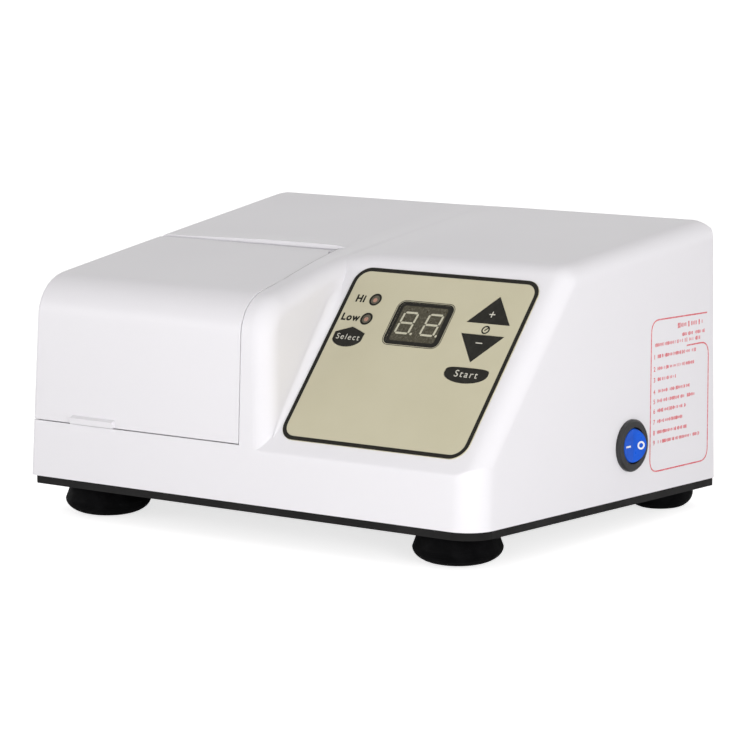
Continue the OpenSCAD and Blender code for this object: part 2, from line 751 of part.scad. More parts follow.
module control_board() {
    color("darkgreen") difference() {
        on_slope(board_x, board_t0) translate([0, 0, -board_depth - board_t])
            cube([board_w, board_h, board_t]);
        for (s = STANDOFFS) on_slope(s[0], s[1]) translate([0, 0, -board_depth - 5])
            cylinder(h = 10, r = 1.6);
    }
    color("#303034") on_slope(board_x + chip[0] - 4, board_t0 + chip[1] + 2)
        translate([0, 0, -board_depth - board_t - chip[2]]) cube(chip);
    color("#303034") on_slope(board_x + board_w - chip[0] + 2, board_t0 + board_h - buzzer_in)
        translate([0, 0, -board_depth - board_t - buzzer_h]) cylinder(h = buzzer_h, r = buzzer_h / 2);
}
module key_switches() {
    color("#303034") for (k = KEYS) on_panel(stem_at(k)[0], stem_at(k)[1])
        translate([0, 0, -board_depth]) difference() {
            translate([-3.5, -3.5, 0]) cube([7, 7, switch_h]);
            translate([0, 0, switch_floor]) cylinder(h = switch_h, r = stem_r + 0.06);
        }
}
module board_standoffs() {
    color("white") for (s = STANDOFFS) on_slope(s[0], s[1]) translate([0, 0, -board_depth])
        difference() {
            cylinder(h = board_depth - wall, r = standoff_r);
            translate([0, 0, -1]) cylinder(h = 7, r = 1.2);
        }
}

bezel_t = 2;
rocker_depth = 3;
rocker_r = 7.9;
rocker_pivot = bezel_t - rocker_depth;
rocker_pin_r = 1;
module switch_bezel() {
    color(BLACK) on_right(switch_y, switch_z) difference() {
        union() {
            rotate_extrude() polygon([[0, 0], [bezel_r, 0], [bezel_r, bezel_t - 0.8],
                [bezel_r - 0.8, bezel_t], [0, bezel_t]]);
            translate([0, 0, -22]) cylinder(h = 22.1, r = bezel_body_r);
            for (x = [-4, 4]) translate([x - 0.4, -2.4, -30]) cube([0.8, 4.8, 9]);
        }
        difference() {
            translate([0, 0, rocker_pivot - 9.5]) cylinder(h = 20, r = rocker_r + 0.2);
            rocker_pin(rocker_r + 1, rocker_pin_r);
        }
    }
}
module rocker_pin(reach, r) {
    translate([0, reach, rocker_pivot]) rotate([90, 0, 0]) cylinder(h = 2 * reach, r = r);
}
// The rocker's face is a shallow V; at rest its front half is pressed in.
module switch_rocker() {
    half = rocker_tip / 2;
    rise = 10 * tan(half);
    color("#265ccd") on_right(switch_y, switch_z) difference() {
        translate([0, 0, rocker_pivot]) rotate([0, -half, 0]) intersection() {
            sphere(rocker_r);
            translate([0, 10, 0]) rotate([90, 0, 0]) linear_extrude(20)
                polygon([[0, 2.9], [-10, 2.9 + rise], [-10, -3], [10, -3], [10, 2.9 + rise]]);
        }
        rocker_pin(rocker_r + 1, rocker_pin_r + 0.06);
    }
}

INLET_PINS = [[-7, -1.5], [7, -1.5], [0, 2.5]];
inlet_screw_u = 20;
inlet_screw_r = 1.7;
flange_h = 2.5;
socket_deep = 14.5;
module inlet_blades(gap) {
    for (p = INLET_PINS) translate([p[0] - 1 - gap, p[1] - 2 - gap, -25])
        cube([2 + 2 * gap, 4 + 2 * gap, 24]);
}
module power_inlet() {
    color(BLACK) on_rear(inlet_x) difference() {
        union() {
            translate([-inlet_flange_w / 2, -inlet_flange_h / 2, 0])
                linear_extrude(flange_h) rounded(inlet_flange_w, inlet_flange_h, 4);
            translate([-inlet_w / 2, -inlet_h / 2, -19]) cube([inlet_w, inlet_h, 19.1]);
        }
        translate([0, 0, -socket_deep]) linear_extrude(20) polygon([[-12.2, 8.2], [12.2, 8.2],
            [12.2, -4], [8.2, -8.2], [-8.2, -8.2], [-12.2, -4]]);
        for (x = [-inlet_screw_u, inlet_screw_u]) translate([x, 0, -1])
            cylinder(h = flange_h + 2, r = inlet_screw_r + 0.1);
        inlet_blades(0.03);
    }
}
module inlet_pins() {
    color(STEEL) on_rear(inlet_x) inlet_blades(0);
}
module inlet_screws() {
    color(STEEL) on_rear(inlet_x) for (x = [-inlet_screw_u, inlet_screw_u])
        translate([x, 0, flange_h]) mirror([0, 0, 1]) pan_screw(3, 1.8, inlet_screw_r, 10);
}
module fuse_holder() {
    color(BLACK) on_rear(fuse_x) difference() {
        union() {
            cylinder(h = 2, r = 8);
            translate([0, 0, -28]) cylinder(h = 28.1, r = fuse_hole_r);
            translate([0, 0, -wall - 3]) cylinder(h = 2.8, r = 8.5, $fn = 6);
        }
        translate([0, 0, -20]) cylinder(h = 25, r = 4.2);
    }
}
module fuse_cap() {
    color(BLACK) on_rear(fuse_x) difference() {
        union() {
            translate([0, 0, 2.05]) cylinder(h = fuse_proud - 2.05, r = fuse_cap_r);
            translate([0, 0, -8]) cylinder(h = 10.4, r = 4.15);
        }
        translate([-5, -0.7, fuse_proud - 1.6]) cube([10, 1.4, 3]);
    }
}

// Motor, its bracket and the rotor
arm_x = (tub_left_x + tub_right_x) / 2 + arm_offset;
motor_x = arm_x + 24;
plate_t = 2.5;
bracket_x = motor_x - plate_t;
bush_h = 6;
bush_r = 6;
shaft_r = 4;
module motor_body() {
    color("#5a5f66") difference() {
        union() {
            along_x(motor_x, motor_x + motor_len, shaft_y, shaft_z, motor_r);
            along_x(motor_x - plate_t + 0.1, motor_x + 0.1, shaft_y, shaft_z, 11);
        }
        along_x(motor_x - 5, motor_x + motor_len + 5, shaft_y, shaft_z, shaft_r + 0.05);
    }
}
bell_len = 12;
module motor_end_bell() {
    x = motor_x + motor_len;
    color(STEEL) difference() {
        translate([x, shaft_y, shaft_z]) rotate([0, 90, 0]) rotate_extrude()
            polygon([[0, 0], [motor_r, 0], [motor_r, bell_len - 5], [motor_r - 5, bell_len], [0, bell_len]]);
        along_x(x - 1, x + bell_len + 1, shaft_y, shaft_z, shaft_r + 0.05);
        for (a = [0 : 60 : 300]) translate([x + 2, shaft_y, shaft_z]) rotate([a, 0, 0])
            translate([0, 14, 0]) rotate([0, 90, 0]) cylinder(h = 20, r = 3.2);
    }
}
bracket_len = 62;
bracket_w = 64;
bracket_r = 30;
bush_in = 8;
BUSHES = [for (x = [bush_in, bracket_len - bush_in], y = [-1, 1])
    [bracket_x + x, shaft_y + y * (bracket_w / 2 - bush_in)]];
module motor_bracket() {
    color("#8c9096") difference() {
        union() {
            translate([bracket_x, shaft_y - bracket_w / 2, bush_h]) {
                cube([bracket_len, bracket_w, plate_t]);
                cube([plate_t, bracket_w, shaft_z - bush_h]);
            }
            along_x(bracket_x, motor_x, shaft_y, shaft_z, bracket_r);
        }
        along_x(bracket_x - 1, bracket_x + 4, shaft_y, shaft_z, 11.1);
        for (p = BUSHES) translate([p[0], p[1], bush_h - 1]) cylinder(h = 5, r = 3);
    }
}
module motor_mount_bushes() {
    color(BLACK) for (p = BUSHES) translate([p[0], p[1], 0]) difference() {
        union() {
            cylinder(h = bush_h, r = bush_r);
            translate([0, 0, bush_h - 0.1]) cylinder(h = plate_t + 0.2, r = 2.9);
            translate([0, 0, bush_h + plate_t]) cylinder(h = 1.5, r = 4.2);
        }
        translate([0, 0, 2]) cylinder(h = 12, r = 1.2);
    }
}
fan_x = motor_x + motor_len + bell_len + 3;
journal_half = 6;
module on_journal() {
    translate([arm_x, shaft_y, shaft_z]) rotate([0, 90 - wobble, 0]) children();
}
module rotor_shaft() {
    color(STEEL) {
        along_x(arm_x + 10, fan_x + 10, shaft_y, shaft_z, shaft_r);
        along_x(arm_x + 8.5, arm_x + 12, shaft_y, shaft_z, 7);
        on_journal() translate([0, 0, -journal_half]) cylinder(h = 2 * journal_half + 4, r = journal_r);
        on_journal() translate([0, 0, -journal_half - 1.6]) cylinder(h = 1.7, r = 6.5);
    }
}
bearing_half = 3.5;
module ring(r_in, r_out, half) {
    difference() {
        translate([0, 0, -half]) cylinder(h = 2 * half, r = r_out);
        translate([0, 0, -half - 1]) cylinder(h = 2 * half + 2, r = r_in);
    }
}
module journal_bearing() {
    color(STEEL) on_journal() difference() {
        ring(journal_r + 0.03, bearing_r, bearing_half);
        for (s = [-1, 1]) translate([0, 0, s * (bearing_half + 0.4)])
            ring(journal_r + 1.8, bearing_r - 1.6, 1);
    }
}
module balance_weight() {
    color("#b08d57") difference() {
        translate([arm_x + 13, shaft_y, shaft_z]) rotate([0, 90, 0]) union() {
            cylinder(h = 6, r = 8);
            intersection() {
                cylinder(h = 6, r = 15);
                translate([0, -16, -1]) cube([16, 32, 8]);
            }
        }
        along_x(arm_x + 12, arm_x + 20, shaft_y, shaft_z, shaft_r + 0.01);
    }
}
blades = 8;
module cooling_fan() {
    color("#2b2f36") difference() {
        translate([fan_x, shaft_y, shaft_z]) rotate([0, 90, 0]) union() {
            cylinder(h = 8, r = 8);
            for (k = [0 : blades - 1]) rotate([0, 0, 360 * k / blades])
                translate([6, 0, 4]) rotate([35, 0, 0]) translate([0, -0.7, -4.4]) cube([15, 1.4, 8.8]);
        }
        along_x(fan_x - 1, fan_x + 9, shaft_y, shaft_z, shaft_r + 0.01);
    }
}

// Arm on the bearing, with a tail behind it and the clips that hold the capsule at its end
hub_half = 5;
hub_r = 15.5;
arm_t = 9;
tail_r = 3;
tail_len = 17;
yoke_y = arm_len - 17;
yoke_half = capsule_len / 2 + 1.2;
module arm_frame() {
    translate([arm_x, shaft_y, shaft_z]) rotate([0, -wobble, 0]) children();
}
module mixing_arm() {
    half = yoke_half;
    color("#c9ccd1") arm_frame() difference() {
        union() {
            rotate([0, 90, 0]) ring(bearing_r + 0.04, hub_r, hub_half);
            translate([0, 0, -arm_t / 2]) linear_extrude(arm_t) polygon([[-5, -13.5], [5, -13.5],
                [3.6, -yoke_y + 9], [half, -yoke_y], [half, -yoke_y - 5], [-half, -yoke_y - 5],
                [-half, -yoke_y], [-3.6, -yoke_y + 9]]);
            translate([0, hub_r - 1.5, 0]) rotate([-90, 0, 0]) cylinder(h = tail_len + 1.5, r = tail_r);
        }
        for (y = [-26, -38, -50]) translate([0, y, -arm_t]) cylinder(h = 2 * arm_t, r = 2.2);
        rotate([0, 90, 0]) translate([0, 0, -hub_half - 1])
            cylinder(h = 2 * hub_half + 2, r = bearing_r + 0.04);
    }
}
clip_t = 1.2;
clip_w = 9;
module capsule_clips() {
    half = yoke_half;
    color(STEEL) arm_frame() for (s = [-1, 1]) mirror([s < 0 ? 1 : 0, 0, 0]) {
        difference() {
            union() {
                translate([half, -arm_len, 0]) rotate([0, 90, 0]) cylinder(h = clip_t, r = clip_w * 0.8);
                translate([half, -arm_len, -clip_w / 2]) cube([clip_t, arm_len - yoke_y + 0.2, clip_w]);
                translate([half, -arm_len - clip_w * 0.8, -clip_w / 2])
                    rotate([0, 0, -28]) translate([0, -6, 0]) cube([clip_t, 6.6, clip_w]);
            }
            translate([half - 1, -arm_len, 0]) rotate([0, 90, 0]) cylinder(h = clip_t + 2, r = 4);
        }
    }
}

// Two springs, one above the arm's tail and one below it, keep the arm from turning.
spring_turns = 5;
spring_r = 4.4;
spring_wire = 0.6;
spring_h = 18;
spring_y = shaft_y + 26;
tail_gap = tail_r + 0.35;
shelf_t = 2.5;
upright_y = spring_y + spring_r + spring_wire + 4;
rest_w = 18;
rest_foot_w = 24;
module spring() {
    steps = 8;
    sides = 6;
    n = spring_turns * steps;
    climb = (spring_h - 2 * spring_wire) / n;
    ring_at = function (k) let (a = 360 * k / steps)
        [for (j = [0 : sides - 1]) let (b = 360 * j / sides, r = spring_r + spring_wire * cos(b))
            [r * cos(a), r * sin(a), spring_wire * (1 + sin(b)) + climb * k]];
    gap = min([for (i = ring_at(0), j = ring_at(steps)) norm(i - j)]);
    echo(spring_least_gap_mm = gap);
    loft([for (k = [0 : n]) ring_at(k)]);
}
module lower_spring() {
    color(STEEL) translate([arm_x, spring_y, shaft_z - tail_gap - spring_h]) spring();
}
module upper_spring() {
    color(STEEL) translate([arm_x, spring_y, shaft_z + tail_gap]) spring();
}
module spring_bracket() {
    low = shaft_z - tail_gap - spring_h;
    top = shaft_z + tail_gap + spring_h;
    color("#8c9096") {
        translate([arm_x - rest_foot_w / 2, spring_y - rest_w / 2, 0])
            cube([rest_foot_w, upright_y - spring_y + rest_w / 2 + shelf_t, shelf_t]);
        translate([arm_x - rest_w / 2, upright_y, 0]) cube([rest_w, shelf_t, top + shelf_t]);
        for (z = [low - shelf_t, top]) translate([arm_x - rest_w / 2, spring_y - spring_r - 2.6, z])
            cube([rest_w, upright_y - spring_y + spring_r + 3, shelf_t]);
    }
}

// Interlock: the closed lid holds the plunger down
plunger_top = level_z(plunger_y) - wall - 0.35;
plunger_len = 14;
module lid_switch() {
    z = plunger_top - plunger_len - 2;
    color("#303034") difference() {
        translate([plunger_x - 4, plunger_y - 10, z - 12]) cube([8, 20, 8 + plunger_len]);
        translate([plunger_x, plunger_y, z - 1]) cylinder(h = 40, r = plunger_r + 0.06);
    }
}
module lid_switch_plunger() {
    color("firebrick") translate([plunger_x, plunger_y, plunger_top - plunger_len])
        cylinder(h = plunger_len, r = plunger_r);
}

trafo_x = body_w - 82;
trafo_y = body_d - 89;
trafo_w = 40;
trafo_d = 42;
trafo_h = 36;
coil_t = 5;
coil_in = 6;
flange_t = 2;
flange_past = 9;
flange_in = 8;
module transformer() {
    color("#4d4f52") translate([trafo_x, trafo_y, 0]) cube([trafo_w, trafo_d, trafo_h]);
    color("#b5651d") for (y = [-coil_t, trafo_d]) translate([trafo_x + coil_in, trafo_y + y, coil_in])
        cube([trafo_w - 2 * coil_in, coil_t, trafo_h - 2 * coil_in]);
    color("#4d4f52") difference() {
        translate([trafo_x - flange_past, trafo_y + flange_in, 0])
            cube([trafo_w + 2 * flange_past, trafo_d - 2 * flange_in, flange_t]);
        for (x = [-flange_past / 2, trafo_w + flange_past / 2])
            translate([trafo_x + x, trafo_y + trafo_d / 2, -1]) cylinder(h = flange_t + 2, r = flange_t);
    }
}

seat() cover();
seat() lid();
seat() base_plate();
seat() front_feet();
seat() rear_feet();
seat() foot_screws();
seat() cover_screws();
seat() chamber_liner();
seat() hinge_brackets();
seat() hinge_pins();
seat() hinge_screws();
seat() control_overlay();
seat() display_window();
seat() display_module();
seat() led_lenses();
seat() key_up();
seat() key_down();
seat() key_select();
seat() key_start();
seat() control_board();
seat() key_switches();
seat() board_standoffs();
seat() switch_bezel();
seat() switch_rocker();
seat() power_inlet();
seat() inlet_pins();
seat() inlet_screws();
seat() fuse_holder();
seat() fuse_cap();
seat() motor_body();
seat() motor_end_bell();
seat() motor_bracket();
seat() motor_mount_bushes();
seat() rotor_shaft();
seat() journal_bearing();
seat() balance_weight();
seat() cooling_fan();
seat() mixing_arm();
seat() capsule_clips();
seat() lower_spring();
seat() upper_spring();
seat() spring_bracket();
seat() lid_switch();
seat() lid_switch_plunger();
seat() transformer();
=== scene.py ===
import json
from math import atan2, cos, pi, radians, sin, sqrt, tan

import bmesh
import bpy
from mathutils import Matrix, Vector


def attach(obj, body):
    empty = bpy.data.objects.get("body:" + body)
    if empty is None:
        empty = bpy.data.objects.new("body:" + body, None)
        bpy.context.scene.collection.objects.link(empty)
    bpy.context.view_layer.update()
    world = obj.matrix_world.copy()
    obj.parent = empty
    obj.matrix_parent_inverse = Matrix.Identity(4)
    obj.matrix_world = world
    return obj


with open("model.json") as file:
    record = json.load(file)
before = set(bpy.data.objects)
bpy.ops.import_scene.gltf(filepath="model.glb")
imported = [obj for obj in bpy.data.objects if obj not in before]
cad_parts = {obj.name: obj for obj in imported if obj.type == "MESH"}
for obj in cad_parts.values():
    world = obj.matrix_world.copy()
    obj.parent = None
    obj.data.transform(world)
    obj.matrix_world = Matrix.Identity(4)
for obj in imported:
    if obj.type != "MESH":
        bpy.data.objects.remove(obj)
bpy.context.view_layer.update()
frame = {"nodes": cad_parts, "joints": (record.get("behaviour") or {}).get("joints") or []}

nodes = frame["nodes"]

# Viewpoint
# The mixer stands on a bench and is seen from its front right, hardly above it. Its
# housing leans back a little, because the front feet are the taller ones. The foremost
# point of the housing is on its rim's front edge, and the lowest one on the rear edge.
MM = 0.001
scene = bpy.context.scene
shell = [vertex.co.copy() for vertex in nodes["cover"].data.vertices]
front_rim, rear_rim = min(shell, key=lambda p: p.y), min(shell, key=lambda p: p.z)
left_wall, right_wall = min(p.x for p in shell), max(p.x for p in shell)
lean = atan2(front_rim.z - rear_rim.z, rear_rim.y - front_rim.y)
housing = Matrix.Translation((left_wall, front_rim.y, front_rim.z)) @ Matrix.Rotation(-lean, 4, "X")

turn, height, tilt = radians(37.8928), radians(7.9893), radians(-0.0486)
aim = Vector((125, 93.75, 45.829)) * MM
distance = 1.6705
away = Vector((sin(turn) * cos(height), -cos(turn) * cos(height), sin(height)))
across = Vector((cos(turn), sin(turn), 0))
upward = away.cross(across)
level = across * cos(tilt) + upward * sin(tilt)
rising = upward * cos(tilt) - across * sin(tilt)
eye = aim + away * distance
lens = bpy.data.cameras.new("bench_camera")
lens.sensor_width = 36
lens.lens = 177.6
lens.clip_end = 50
camera = bpy.data.objects.new("bench_camera", lens)
scene.collection.objects.link(camera)
camera.matrix_world = housing @ Matrix((
    (level.x, rising.x, away.x, eye.x),
    (level.y, rising.y, away.y, eye.y),
    (level.z, rising.z, away.z, eye.z),
    (0, 0, 0, 1)))
scene.camera = camera

# Bench and light
# A wide matt white bench top under even light from a white studio, the ceiling
# a little darker than the walls, with three large soft lamps for shape.
scene.view_settings.view_transform = "Standard"

bench_half = 6
bench_mesh = bpy.data.meshes.new("bench")
bench_mesh.from_pydata([(bench_half * x, bench_half * y, 0) for x, y in ((-1, -1), (1, -1), (1, 1), (-1, 1))],
                       [], [(0, 1, 2, 3)])
bench = bpy.data.objects.new("bench", bench_mesh)
scene.collection.objects.link(bench)
paper_white, lift_to_white = 0.95, 0.7
paper = bpy.data.materials.new("bench_paper")
paper.use_nodes = True
tree = paper.node_tree
tree.nodes.clear()
seen = tree.nodes.new("ShaderNodeLightPath")
matt = tree.nodes.new("ShaderNodeBsdfDiffuse")
matt.inputs["Color"].default_value = (paper_white, paper_white, paper_white, 1)
shine = tree.nodes.new("ShaderNodeEmission")
shine.inputs["Color"].default_value = (1, 1, 1, 1)
strength = tree.nodes.new("ShaderNodeMath")
strength.operation = "MULTIPLY"
strength.inputs[1].default_value = lift_to_white
both = tree.nodes.new("ShaderNodeAddShader")
out = tree.nodes.new("ShaderNodeOutputMaterial")
tree.links.new(seen.outputs["Is Camera Ray"], strength.inputs[0])
tree.links.new(strength.outputs[0], shine.inputs["Strength"])
tree.links.new(matt.outputs[0], both.inputs[0])
tree.links.new(shine.outputs[0], both.inputs[1])
tree.links.new(both.outputs[0], out.inputs["Surface"])
bench_mesh.materials.append(paper)

wall_white, wall_top = (1, 0.985, 1, 1), 0.15
ceiling_grey, ceiling_edge = (0.405, 0.396, 0.394, 1), 0.6
studio = bpy.data.worlds.new("white_studio")
studio.use_nodes = True
scene.world = studio
tree = studio.node_tree
tree.nodes.clear()
place = tree.nodes.new("ShaderNodeTexCoord")
split = tree.nodes.new("ShaderNodeSeparateXYZ")
walls = tree.nodes.new("ShaderNodeValToRGB")
walls.color_ramp.elements[0].position = wall_top
walls.color_ramp.elements[0].color = wall_white
walls.color_ramp.elements[1].position = ceiling_edge
walls.color_ramp.elements[1].color = ceiling_grey
lit = tree.nodes.new("ShaderNodeBackground")
white = tree.nodes.new("ShaderNodeBackground")
white.inputs["Color"].default_value = (1, 1, 1, 1)
seen = tree.nodes.new("ShaderNodeLightPath")
direct = tree.nodes.new("ShaderNodeMath")
direct.operation = "MAXIMUM"
through = tree.nodes.new("ShaderNodeMath")
through.operation = "MAXIMUM"
pick = tree.nodes.new("ShaderNodeMixShader")
out = tree.nodes.new("ShaderNodeOutputWorld")
tree.links.new(place.outputs["Generated"], split.inputs[0])
tree.links.new(split.outputs["Z"], walls.inputs[0])
tree.links.new(walls.outputs[0], lit.inputs["Color"])
tree.links.new(seen.outputs["Is Camera Ray"], direct.inputs[0])
tree.links.new(seen.outputs["Is Glossy Ray"], direct.inputs[1])
tree.links.new(direct.outputs[0], through.inputs[0])
tree.links.new(seen.outputs["Is Transmission Ray"], through.inputs[1])
tree.links.new(through.outputs[0], pick.inputs[0])
tree.links.new(lit.outputs[0], pick.inputs[1])
tree.links.new(white.outputs[0], pick.inputs[2])
tree.links.new(pick.outputs[0], out.inputs["Surface"])

mixer_middle = Vector((0, 0, 0.06))


def soft_lamp(name, at, size, watts, mirrored=True):
    """A large square lamp that looks at the middle of the mixer."""
    light = bpy.data.lights.new(name, "AREA")
    light.size = size
    light.energy = watts
    lamp = bpy.data.objects.new(name, light)
    scene.collection.objects.link(lamp)
    lamp.location = at
    lamp.visible_glossy = mirrored
    lamp.rotation_euler = (mixer_middle - Vector(at)).to_track_quat("-Z", "Y").to_euler()


soft_lamp("left_front_lamp", (-1.5, -1.5, 0.25), 1.0, 5.5)
soft_lamp("front_lamp", (0.5, -1.15, 0.14), 0.4, 3.4, mirrored=False)
soft_lamp("right_lamp", (0.95, -0.6, 0.16), 0.4, 4.9, mirrored=False)

# Base plate
# Black painted steel plate across the whole bottom; its edge shows as a thin strip.
# It is cut and punched from sheet, then dipped in a satin paint with a fine grain.


def new_finish(name, colour, roughness, metallic=0.0, gloss=0.5):
    """A plain finish, which the other functions then give its grain, patches and wear."""
    made = bpy.data.materials.new(name)
    made.use_nodes = True
    shader = made.node_tree.nodes["Principled BSDF"]
    shader.inputs["Base Color"].default_value = (*colour, 1)
    shader.inputs["Roughness"].default_value = roughness
    shader.inputs["Metallic"].default_value = metallic
    shader.inputs["Specular IOR Level"].default_value = gloss
    return made


def patches(made, size, stretch=(1, 1, 1)):
    """Noise in patches about size metres across, finer along an axis by its stretch."""
    tree = made.node_tree
    place = tree.nodes.new("ShaderNodeTexCoord")
    spread = tree.nodes.new("ShaderNodeMapping")
    spread.inputs["Scale"].default_value = stretch
    noise = tree.nodes.new("ShaderNodeTexNoise")
    noise.inputs["Scale"].default_value = 1 / size
    noise.inputs["Detail"].default_value = 3
    tree.links.new(place.outputs["Object"], spread.inputs[0])
    tree.links.new(spread.outputs[0], noise.inputs["Vector"])
    return noise.outputs[0]


def add_mottle(made, other, size, low=0.4, high=0.7):
    """Lets the colour drift towards another one in soft patches."""
    tree = made.node_tree
    shader = tree.nodes["Principled BSDF"]
    ramp = tree.nodes.new("ShaderNodeValToRGB")
    ramp.color_ramp.elements[0].position = low
    ramp.color_ramp.elements[1].position = high
    ramp.color_ramp.elements[0].color = shader.inputs["Base Color"].default_value
    ramp.color_ramp.elements[1].color = (*other, 1)
    tree.links.new(patches(made, size), ramp.inputs[0])
    tree.links.new(ramp.outputs[0], shader.inputs["Base Color"])


def add_sheen_drift(made, size, smooth, rough, stretch=(1, 1, 1)):
    """Lets the gloss drift between a smoother and a rougher value."""
    tree = made.node_tree
    span = tree.nodes.new("ShaderNodeMapRange")
    span.inputs["From Min"].default_value = 0.3
    span.inputs["From Max"].default_value = 0.7
    span.inputs["To Min"].default_value = smooth
    span.inputs["To Max"].default_value = rough
    tree.links.new(patches(made, size, stretch), span.inputs[0])
    tree.links.new(span.outputs[0], tree.nodes["Principled BSDF"].inputs["Roughness"])


def add_grain(made, size, depth, strength=1.0, stretch=(1, 1, 1)):
    """Gives the surface fine bumps, size metres apart and depth metres deep."""
    tree = made.node_tree
    bump = tree.nodes.new("ShaderNodeBump")
    bump.inputs["Strength"].default_value = strength
    bump.inputs["Distance"].default_value = depth
    tree.links.new(patches(made, size, stretch), bump.inputs["Height"])
    tree.links.new(bump.outputs[0], tree.nodes["Principled BSDF"].inputs["Normal"])


def give_finish(made, *names):
    """Puts a finish on whole CAD nodes."""
    for name in names:
        for slot in nodes[name].material_slots:
            slot.material = made


black_paint = new_finish("black_satin_paint", (0.007, 0.0068, 0.0068), 0.45, gloss=0.16)
add_mottle(black_paint, (0.014, 0.0135, 0.0135), 0.02)
add_sheen_drift(black_paint, 0.012, 0.4, 0.52)
add_grain(black_paint, 0.0006, 0.00003, 0.5)
give_finish(black_paint, "base_plate")

# Rubber feet
# Four flared feet of black rubber, moulded in one piece each and screwed to the plate.
# The rubber is matt, with a greyish bloom where it has been handled.
foot_rubber = new_finish("foot_rubber", (0.0022, 0.0022, 0.0025), 0.6, gloss=0.05)
add_mottle(foot_rubber, (0.005, 0.005, 0.0055), 0.008, 0.45, 0.75)
add_sheen_drift(foot_rubber, 0.006, 0.5, 0.72)
add_grain(foot_rubber, 0.0005, 0.00004, 0.5)
give_finish(foot_rubber, "front_feet", "rear_feet", "motor_mount_bushes")

# Screws, pins, springs and brackets
# Zinc plated steel: turned or rolled fasteners, bent sheet brackets and coiled wire.
# The plating is bright, with fine draw lines and cloudy patches.
zinc = new_finish("zinc_plated_steel", (0.58, 0.58, 0.6), 0.32, 1.0)
add_mottle(zinc, (0.46, 0.46, 0.5), 0.004, 0.4, 0.8)
add_sheen_drift(zinc, 0.002, 0.22, 0.42)
add_grain(zinc, 0.0004, 0.00001, 0.4)
give_finish(zinc, "foot_screws", "cover_screws", "hinge_screws", "inlet_screws", "inlet_pins",
            "hinge_pins", "hinge_brackets", "lower_spring", "upper_spring", "spring_bracket",
            "capsule_clips")

# Chamber liner
# Light grey polypropylene tub round the shaken capsule, moulded in one piece.
# Its inside is a soft satin that shows faint scuffs from wiping.
liner = new_finish("liner_plastic", (0.62, 0.62, 0.63), 0.45)
add_mottle(liner, (0.55, 0.55, 0.57), 0.02, 0.45, 0.8)
add_sheen_drift(liner, 0.006, 0.36, 0.55, (1, 1, 3))
add_grain(liner, 0.0007, 0.00002, 0.4)
give_finish(liner, "chamber_liner")

# Motor
# Rolled steel can in grey paint with a cast aluminium end bell, on a bent steel bracket
# that stands on rubber bushes.
grey_paint = new_finish("grey_motor_paint", (0.1, 0.115, 0.135), 0.4)
add_mottle(grey_paint, (0.13, 0.14, 0.16), 0.01)
add_grain(grey_paint, 0.0008, 0.00003, 0.5)
give_finish(grey_paint, "motor_body")
cast_alloy = new_finish("cast_aluminium", (0.6, 0.6, 0.61), 0.5, 1.0)
add_mottle(cast_alloy, (0.46, 0.46, 0.47), 0.004)
add_grain(cast_alloy, 0.0009, 0.00006, 0.7)
give_finish(cast_alloy, "motor_end_bell")
bracket_steel = new_finish("bracket_steel", (0.42, 0.43, 0.45), 0.38, 1.0)
add_sheen_drift(bracket_steel, 0.003, 0.3, 0.48, (8, 1, 1))
add_grain(bracket_steel, 0.0004, 0.00001, 0.4, (10, 1, 1))
give_finish(bracket_steel, "motor_bracket")

# Rotor
# Ground steel shaft with its tilted journal, a brass balance weight beside it
# and a moulded black fan at the other end, all pressed on.
ground_steel = new_finish("ground_steel", (0.68, 0.68, 0.7), 0.22, 1.0)
add_sheen_drift(ground_steel, 0.0008, 0.16, 0.3, (6, 1, 1))
add_grain(ground_steel, 0.0003, 0.000006, 0.4, (8, 1, 1))
give_finish(ground_steel, "rotor_shaft", "journal_bearing")
brass = new_finish("turned_brass", (0.62, 0.44, 0.2), 0.3, 1.0)
add_mottle(brass, (0.5, 0.34, 0.15), 0.003)
add_grain(brass, 0.0004, 0.00001, 0.4, (8, 1, 1))
give_finish(brass, "balance_weight")
black_nylon = new_finish("black_nylon", (0.02, 0.022, 0.026), 0.4)
add_mottle(black_nylon, (0.032, 0.034, 0.038), 0.006)
add_grain(black_nylon, 0.0006, 0.00002, 0.5)
give_finish(black_nylon, "cooling_fan")

# Shaking arm
# Die-cast alloy arm with drilled lightening holes, tumbled to a dull even silver.
# Its hub is pressed over the bearing, and its front end carries the two capsule clips.
arm_alloy = new_finish("tumbled_alloy", (0.66, 0.67, 0.69), 0.4, 1.0)
add_mottle(arm_alloy, (0.55, 0.56, 0.58), 0.005)
add_sheen_drift(arm_alloy, 0.002, 0.32, 0.5)
add_grain(arm_alloy, 0.0007, 0.00003, 0.5)
give_finish(arm_alloy, "mixing_arm")

# Lid switch
# A small black nylon switch beside the chamber, with a short red pin turned from rod.
# The closed lid holds the pin down, and it springs up when the lid opens.
give_finish(black_nylon, "lid_switch")
red_nylon = new_finish("red_nylon", (0.45, 0.03, 0.03), 0.38)
add_mottle(red_nylon, (0.36, 0.025, 0.025), 0.002)
add_grain(red_nylon, 0.0003, 0.00001, 0.5)
give_finish(red_nylon, "lid_switch_plunger")

# Transformer
# A stack of varnished steel sheets with a coil on each side, clamped to the base
# plate. The edges of the sheets show as fine lines.
iron = new_finish("varnished_iron", (0.07, 0.072, 0.078), 0.42, 0.6)
add_mottle(iron, (0.13, 0.09, 0.05), 0.006, 0.5, 0.8)
add_grain(iron, 0.0005, 0.0001, 1.0, (1, 1, 0.02))
give_finish(iron, "transformer")

